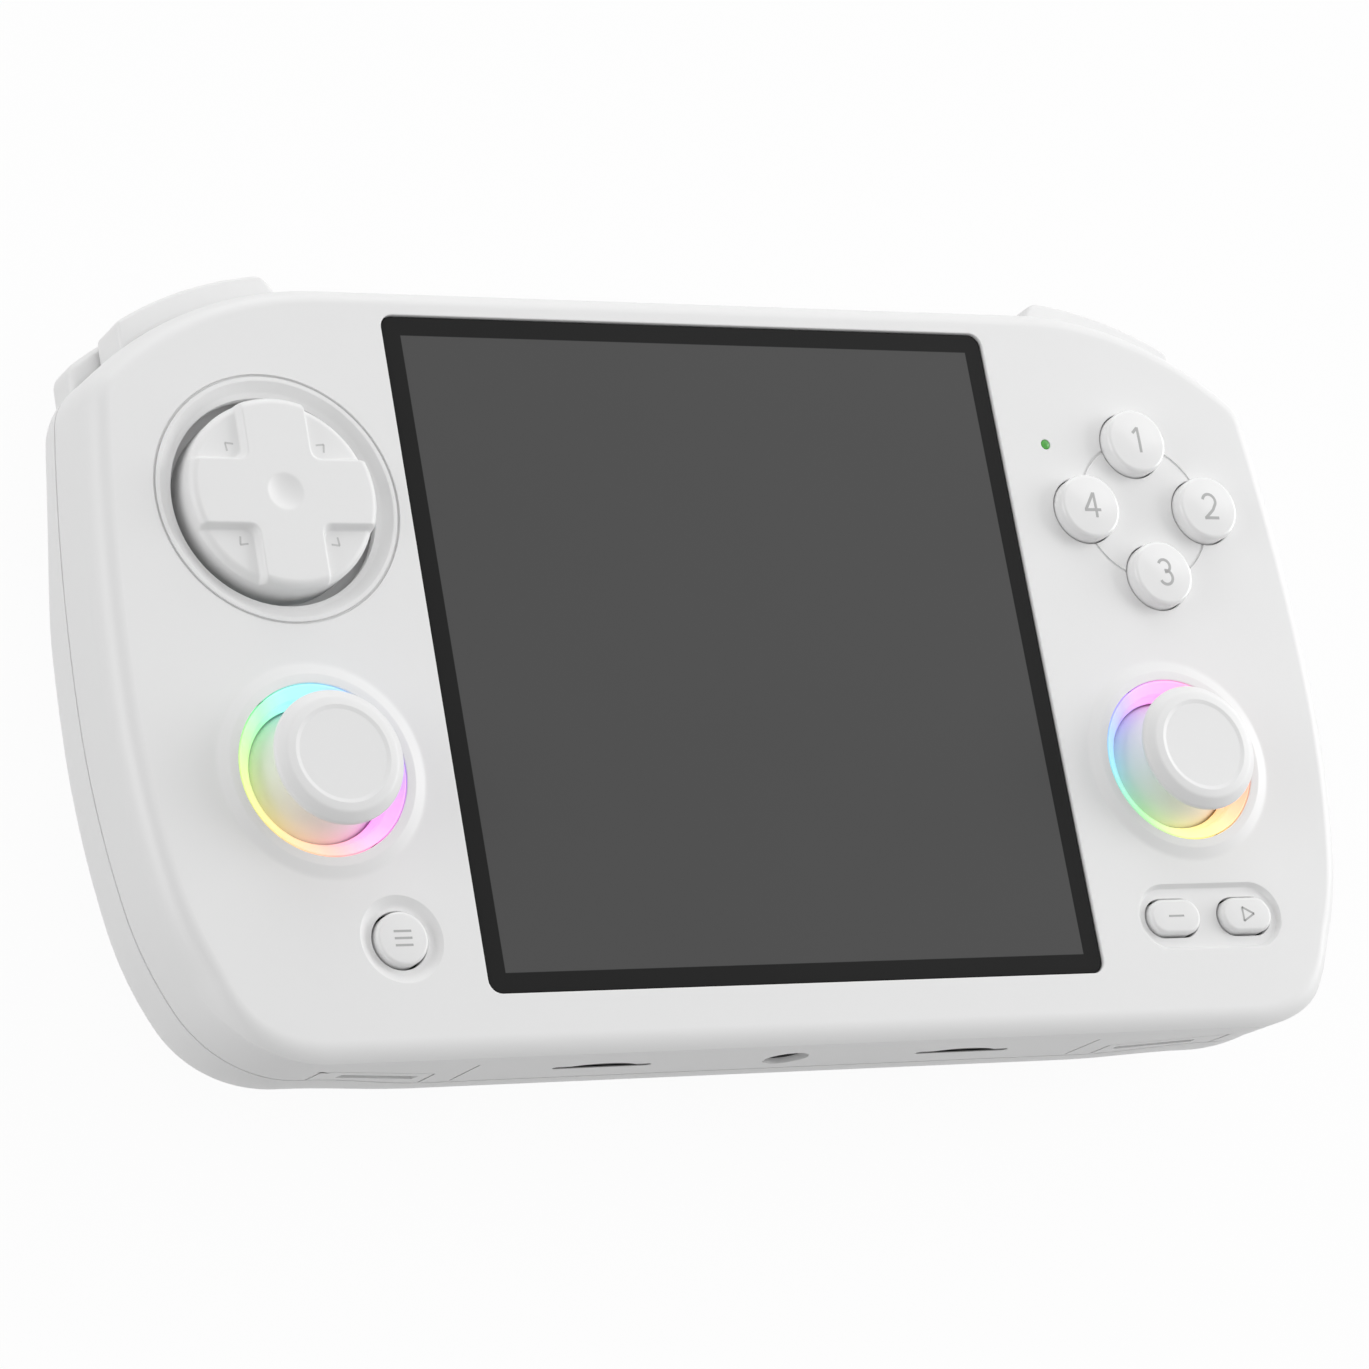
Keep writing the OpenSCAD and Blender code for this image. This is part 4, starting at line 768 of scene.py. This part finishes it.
# Screen
glass = {"half": 37.635, "corner": 1.4, "top": -glassRecess, "thick": 0.8, "live": 70.94, "border": 29,
         "screen": 80, "crisp": 12000.0}
glassLine = softLine([(0.5, 0, 0), (0.0, 0, 0.12), (0.0, -glass["thick"], 0.05),
                      (1.0, -glass["thick"], 0)], 4)
glassRings = skin(roundedBox(glass["half"], glass["half"], glass["corner"]), glassLine + [0, glass["top"]])
addPiece("cover_glass", loft(glassRings, True, True), coverGlass("cover_glass", glass), "console",
         ["screen_glass"])


# Direction pad: a disc with a round edge and a raised cross with soft steps and a dimple
def padHeight(x, y):
    cross = {"half": 3.55, "blend": 1.3, "base": 1.15, "rise": 0.95, "step": 0.5, "edge": 0.9,
             "dimple": 0.42, "dimpleCurve": 0.1}
    across, along = np.abs(x) - cross["half"], np.abs(y) - cross["half"]
    gap = np.clip(0.5 + 0.5 * (along - across) / cross["blend"], 0, 1)
    distance = along * (1 - gap) + across * gap - cross["blend"] * gap * (1 - gap)
    radius = np.hypot(x, y)
    dimple = np.maximum(cross["dimple"] - radius * radius * cross["dimpleCurve"], 0)
    height = cross["base"] + cross["rise"] * (1 - ease(-0.05, cross["step"], distance)) - dimple
    edge = cross["edge"]
    past = np.clip(radius - (dpad["radius"] - edge), 0, edge)
    return height - (edge - np.sqrt(edge * edge - past * past))


def padShape():
    radius = dpad["radius"] * np.sin(np.linspace(0, np.pi / 2, 110))
    top = radius[:, None, None] * unitCircle(432)
    height = padHeight(top[..., 0], top[..., 1])[..., None]
    high, low = dpad["flangeZ"]
    foot = np.array([[dpad["radius"], high], [dpad["flange"], high], [dpad["flange"], low]])
    rings = np.concatenate([np.concatenate([top, height], axis=-1), skin(circle((0, 0), 432), foot)])
    return loft(rings + np.array([*dpad["centre"], 0]), False, True)


addPiece("direction_pad", padShape(), whitePlastic, "dpad", ["dpad"], sharpAngle=50.0)


# Marks: flat strokes with their own thickness, laid on the surface under them; printed legends, and the
# painted shade of the pad's arrows
def markShape(lines, width, surface, thick=0.03):
    shapes = []
    for run in lines:
        points = np.asarray(run, float)
        along = np.gradient(points, axis=0)
        along /= np.linalg.norm(along, axis=1)[:, None]
        side = np.stack([-along[:, 1], along[:, 0]], axis=-1) * width / 2
        across = np.stack([points - side, points - side / 3, points + side / 3, points + side], axis=1)
        height = surface(across[..., 0], across[..., 1]) + thick / 2
        upper = np.concatenate([across, height[..., None]], axis=-1)
        lower = upper[:, ::-1] - [0, 0, thick]
        shapes.append(loft(np.concatenate([upper, lower], axis=1), True, True))
    return joined(shapes)


def line(*corners, steps=8):
    # Points along straight runs between corners
    spots = np.asarray(corners, float)
    share = np.linspace(0, len(spots) - 1, steps * (len(spots) - 1) + 1)
    index = np.arange(len(spots))
    return np.column_stack([np.interp(share, index, spots[:, 0]), np.interp(share, index, spots[:, 1])])


def turned(x, y, radius, first, last):
    return np.array([x, y]) + radius * unitCircle(24, np.radians(first), np.radians(last), True)


# Small arrow heads that point outward between the arms of the cross, in a grey that is painted shade standing
# in for engraved arrows
arrowShade = moulded("arrow_painted_shade", 208, 200, 0.5, bump=0.02)
arrowHead = {"place": 5.4, "long": 0.26, "wide": 0.4, "line": 0.2}
arrows = []
for across, along in ((1, 1), (-1, 1), (-1, -1), (1, -1)):
    outward = np.array([across, along])
    sideways = np.array([-along, across]) * arrowHead["wide"]
    tip = outward * (arrowHead["place"] + arrowHead["long"])
    back = outward * (arrowHead["place"] - arrowHead["long"])
    arrows += [line(back + sideways, tip), line(tip, back - sideways)]
points, faces = markShape(arrows, arrowHead["line"], padHeight)
addPiece("direction_arrow_shade", (points + [*dpad["centre"], 0], faces), arrowShade, "dpad")

# Strokes of the numerals 1 to 4, one unit high
numerals = [
    [line((-0.2, 0.28), (0.04, 0.5)), line((0.04, 0.52), (0.04, -0.5))],
    [np.concatenate([turned(0, 0.22, 0.28, 165, -38), line((0.1, -0.14), (-0.28, -0.46))]),
     line((-0.32, -0.46), (0.32, -0.46))],
    [turned(0, 0.24, 0.25, 155, -95), turned(0, -0.22, 0.28, 95, -155)],
    [line((0.12, -0.5), (0.12, 0.5)), line((0.1, 0.48), (-0.34, -0.2)), line((-0.38, -0.2), (0.34, -0.2))],
]


# Round buttons with a crowned top, and a numeral on each
def crown(radius, top, sag):
    return lambda x, y: top - sag * (x * x + y * y) / radius ** 2


def buttonLine(radius, top, sag, edge, bottom):
    # Half profile from the middle of the crown over a round edge and down the side
    spread = np.linspace(0, radius - edge, 8)
    cap = np.column_stack([spread, top - sag * (spread / radius) ** 2])
    side = softLine([tuple(cap[-2]) + (0,), (radius, cap[-1, 1], edge), (radius, bottom, 0)], 10)
    return np.concatenate([cap[:-1], side[1:], [[radius - 0.4, bottom]]])


keyLine = buttonLine(faceKeys["cap"], faceKeys["top"], faceKeys["sag"], faceKeys["edge"], capFoot)
keyDome = crown(faceKeys["cap"], faceKeys["top"], faceKeys["sag"])
for number, (place, nodeName) in enumerate(zip(keyPlaces, ("top", "right", "bottom", "left"))):
    nodeName = "face_button_" + nodeName
    shape = loft(skin(circle(place), keyLine), False, True)
    addPiece(nodeName + "_cap", shape, glossPlastic, nodeName, [nodeName])
    marks = [mark * faceKeys["numeral"] for mark in numerals[number]]
    points, faces = markShape(marks, faceKeys["line"], keyDome)
    addPiece(nodeName + "_mark", (points + [*place, 0], faces), legendInk, nodeName)

menuLine = buttonLine(menuKey["cap"], menuKey["top"], menuKey["sag"], menuKey["edge"], capFoot)
addPiece("menu_cap", loft(skin(circle(menuKey["centre"]), menuLine), False, True), whitePlastic,
         "menu_button", ["menu_button"])
barEnd, barPitch = menuKey["barHalf"], menuKey["barPitch"]
bars = [line((-barEnd, y), (barEnd, y)) for y in (-barPitch, 0, barPitch)]
points, faces = markShape(bars, menuKey["line"], crown(menuKey["cap"], menuKey["top"], menuKey["sag"]))
addPiece("menu_mark", (points + [*menuKey["centre"], 0], faces), legendInk, "menu_button")

pairMarks = {"select": [line((-1.0, 0), (1.0, 0))],
             "start": [line((-0.6, -0.8), (0.85, 0)), line((0.85, 0), (-0.6, 0.8)),
                       line((-0.6, 0.8), (-0.6, -0.8))]}
pairLine = softLine([(2.0, pairKeys["top"], 0), (0.0, pairKeys["top"] - 0.04, 0.45), (0.0, capFoot, 0),
                     (0.4, capFoot, 0)], 8)
for place, (label, marks) in zip(pairPlaces, pairMarks.items()):
    nodeName = label + "_button"
    capOutline = stadium(place, pairKeys["length"] - pairKeys["play"], pairKeys["width"] - pairKeys["play"])
    addPiece(label + "_cap", loft(skin(capOutline, pairLine), True, True), whitePlastic, nodeName, [nodeName])
    points, faces = markShape(marks, pairKeys["line"], lambda x, y: pairKeys["top"] + 0 * x)
    addPiece(label + "_mark", (points + [*place, 0], faces), legendInk, nodeName)
print("buttons done")

# Sticks: a dished cap on a neck, a round skirt about the pivot, and a lit ring in the collar
stick = {"top": 5.5, "dish": 4.85, "dishFloor": 5.34, "rim": 5.3, "brow": 6.2, "radius": 7.5, "shoulder": 4.3,
         "under": (6.9, 3.6), "neck": 4.2, "neckTop": 2.4, "neckFoot": 1.2, "pivot": -6.2, "skirt": 8.3,
         "skirtThick": 1.0, "skirtFall": (31.0, 72.0)}
ring = {"outer": 9.3, "seat": 0.25, "top": 0.42, "wall": 8.0, "wallTop": -0.5, "wallFoot": -1.2, "lip": 7.45,
        "lipTop": -1.7, "back": -2.1, "glow": 0.5}
ringColours = {
    "left": [(110, 230, 255), (120, 150, 255), (190, 120, 255), (255, 120, 235),
             (255, 170, 150), (255, 225, 110), (215, 250, 120), (110, 240, 150)],
    "right": [(255, 130, 225), (255, 130, 170), (255, 120, 90), (255, 180, 90),
              (250, 240, 110), (140, 240, 140), (110, 225, 250), (150, 130, 255)],
}


def stickLine():
    bowl = softLine([(0, stick["dishFloor"], 0), (stick["dish"], stick["dishFloor"], 0.3),
                     (stick["rim"], stick["top"] - 0.04, 0.2), (stick["brow"], stick["top"] - 0.2, 0.9),
                     (stick["radius"], stick["shoulder"], 0.6), (*stick["under"], 0.35),
                     (stick["neck"], stick["neckTop"], 0.5), (stick["neck"], stick["neckFoot"], 0)], 8)
    fall = np.radians(np.linspace(*stick["skirtFall"], 22))
    arc = np.column_stack([np.sin(fall), np.cos(fall)])
    pivot = [0, stick["pivot"]]
    skirt = arc * stick["skirt"] + pivot
    inside = arc[::-1] * (stick["skirt"] - stick["skirtThick"]) + pivot
    return np.concatenate([bowl, skirt, inside, [[0, inside[-1, 1]]]])


ringLine = softLine([(ring["outer"], ring["seat"], 0), (ring["outer"], ring["top"], 0.08),
                     (ring["outer"] - 0.2, ring["top"] - 0.06, 0.3),
                     (ring["wall"] + 0.05, ring["wallTop"], 0.4), (ring["wall"], ring["wallFoot"], 0.2),
                     (ring["lip"], ring["lipTop"], 0.1),
                     (ring["lip"], ring["back"], 0), (ring["outer"], ring["back"], 0),
                     (ring["outer"], ring["seat"], 0)])
for side, name in ((-1, "left"), (1, "right")):
    centre = (side * sticks["x"], sticks["y"])
    addPiece(name + "_stick_top", loft(skin(circle(centre, 144), stickLine())), whitePlastic, name + "_stick",
             [name + "_stick_cap"])
    glow = litRing(name + "_glow", centre, ringColours[name], ring["glow"])
    addPiece(name + "_lit_ring", loft(skin(circle(centre, 144), ringLine)), glow, "console",
             [name + "_light_ring"])



# Status light: a small green lens, cloudy inside
def statusLens(name, dark, light, emitted):
    material, tree, shader, place = newMaterial(name, Roughness=0.25, Emission_Strength=0.25)
    shade = mix(place, noise(place, 2500.0), colour(dark), colour(light))
    plug(tree, shade, shader.inputs["Base Color"])
    shader.inputs["Emission Color"].default_value = colour(emitted)
    return material


statusGlow = statusLens("status_glow", (40, 110, 36), (78, 165, 62), (60, 160, 45))
lampLine = buttonLine(lamp["radius"], 0.05, 0.12, 0.1, -2.4)
addPiece("status_lens", loft(skin(circle(lamp["centre"], 32), lampLine), False, True), statusGlow, "console",
         ["status_light_pipe"])
print("sticks and lights done")


# Shoulder buttons: a rounded section swept round the corner, slanted at the inner end and square at the outer
def shoulderShape(low, high, end, edge, out):
    near = shoulder["corner"] - shoulder["in"]
    far = shoulder["corner"] + out
    middle = np.array([(near + far) / 2, (low + high) / 2])
    tip, count = 6, 44
    rounding = np.linspace(0, np.pi / 2, tip)
    tipInset = edge * (1 - np.sin(rounding))
    tipWay = edge * (1 - np.cos(rounding))
    insets = np.concatenate([tipInset, np.zeros(count), tipInset[::-1]])
    sections = roundedBox((far - near) / 2, (high - low) / 2, edge)(insets) + middle
    away = np.concatenate([tipWay, np.full(count + tip, edge)])
    before = np.concatenate([np.full(tip + count, edge), tipWay[::-1]])
    along = np.concatenate([np.zeros(tip), np.linspace(0, 1, count + 2)[1:-1], np.ones(tip)])
    radius = sections[..., 0]
    slant = np.clip((radius - shoulder["corner"] - shoulder["slantFrom"]) / shoulder["out"], 0, 1)
    slant = slant * (shoulder["slantTop"] - shoulder["start"])
    start = np.radians(shoulder["start"] + shoulder["startGap"] + slant) + away[:, None] / radius
    stop = np.arcsin(end / radius) - before[:, None] / radius
    angle = start + (stop - start) * along[:, None]
    points = [cornerX + radius * np.sin(angle), cornerY + radius * np.cos(angle), sections[..., 1]]
    return np.stack(points, axis=-1)


shoulderKeys = {"bumper": (shoulder["bumperZ"], shoulder["bumperEnd"], 0.45, shoulder["out"]),
                "trigger": (shoulder["triggerZ"], shoulder["triggerEnd"], 0.8, shoulder["out"] - 0.3)}
for kind, (heights, end, edge, out) in shoulderKeys.items():
    shapes = bothSides(shoulderShape(*heights, end, edge, out))
    for name, shape in zip(("right_", "left_"), shapes):
        addPiece(name + kind + "_cap", shape, whitePlastic, name + kind, [name + kind])

# Edge buttons on the top wall
edgeLine = softLine([(1.0, ports["keyOut"], 0), (0.0, ports["keyOut"], 0.3), (0.0, ports["keyFoot"], 0),
                     (0.4, ports["keyFoot"], 0)], 6)
for x, nodeName in zip(ports["keys"], ("power_button", "volume_down_button", "volume_up_button")):
    flat = skin(stadium((x, ports["keyZ"]), ports["keyLength"], ports["keyWidth"]), edgeLine)
    rings = flat[..., [0, 2, 1]] + [0, topY, 0]
    addPiece(nodeName + "_cap", loft(rings, True, True), whitePlastic, nodeName, [nodeName])
print("shoulder and edge buttons done")

# Floor, world, lamps and camera
floorZ = -0.0002
floorHalf = 4.0
floorMesh = bpy.data.meshes.new("floor")
floorCorners = [(x * floorHalf, y * floorHalf, floorZ) for x, y in ((-1, -1), (1, -1), (1, 1), (-1, 1))]
floorMesh.from_pydata(floorCorners, [], [(0, 1, 2, 3)])
floor = bpy.data.objects.new("floor", floorMesh)
bpy.context.scene.collection.objects.link(floor)


def seenDirectly(tree):
    # One for rays straight from the camera and for their reflections and refractions
    path = tree.nodes.new("ShaderNodeLightPath")
    camera = Wire(tree, path.outputs["Is Camera Ray"])
    seen = camera.maths("MAXIMUM", camera, Wire(tree, path.outputs["Is Glossy Ray"]))
    return camera.maths("MAXIMUM", seen, Wire(tree, path.outputs["Is Transmission Ray"]))


light = {"sky": 0.457, "backdrop": 1.0, "floorShade": 205, "floorGlow": 1.02, "floorSeen": 0.93}


def floorMaterial():
    # Pale floor that the camera sees nearly white
    material, tree, shader, place = newMaterial("pale_floor", Roughness=0.9, Specular_IOR_Level=0.0)
    shader.inputs["Base Color"].default_value = colour(light["floorShade"])
    white = place.node("ShaderNodeEmission", {"Color": (1, 1, 1, 1), "Strength": light["floorGlow"]})
    surface = Wire(tree, shader.outputs[0])
    seen = seenDirectly(tree) * light["floorSeen"]
    mixed = place.node("ShaderNodeMixShader", {"Fac": seen, 1: surface, 2: white})
    tree.links.new(mixed.socket, tree.nodes["Material Output"].inputs["Surface"])
    return material


floorMesh.materials.append(floorMaterial())

world = bpy.data.worlds.new("studio")
bpy.context.scene.world = world
world.use_nodes = True
worldTree = world.node_tree
background = worldTree.nodes["Background"]
direct = seenDirectly(worldTree)
background.inputs["Color"].default_value = (1, 1, 1, 1)
plug(worldTree, light["sky"] + direct * (light["backdrop"] - light["sky"]), background.inputs["Strength"])


def areaLamp(name, place, size, power):
    # Square lamp that faces the middle of the part
    lampData = bpy.data.lights.new(name, "AREA")
    lampData.size = size
    lampData.energy = power
    lampObject = bpy.data.objects.new(name, lampData)
    bpy.context.scene.collection.objects.link(lampObject)
    lampObject.location = place
    lampObject.rotation_euler = (-Vector(place)).to_track_quat("-Z", "Y").to_euler()


areaLamp("high", (0.7, 0.75, 0.75), 0.8, 2.29)
areaLamp("rim", (0.1, 0.95, 0.3), 0.6, 1.90)
areaLamp("right", (0.95, 0.1, 0.4), 0.6, 5.03)
areaLamp("side", (-0.9, 0.15, 0.15), 0.6, 3.50)
areaLamp("over", (0.15, 0.1, 1.2), 1.0, 1.37)

view = {"place": (-0.29666, -0.17646, 0.50707), "right": (0.87200549, -0.16769838, 0.45987355),
        "up": (0.00337, 0.94151806, 0.33694566), "back": (-0.48948449, -0.2922687, 0.82157406),
        "lens": 145.04}
cameraData = bpy.data.cameras.new("camera")
cameraData.sensor_width = 36.0
cameraData.lens = view["lens"]
camera = bpy.data.objects.new("camera", cameraData)
bpy.context.scene.collection.objects.link(camera)
axes = np.array([view["right"], view["up"], view["back"], view["place"]]).T
camera.matrix_world = Matrix(np.vstack([axes, [0, 0, 0, 1]]).tolist())
bpy.context.scene.camera = camera
bpy.context.scene.view_settings.view_transform = "Standard"
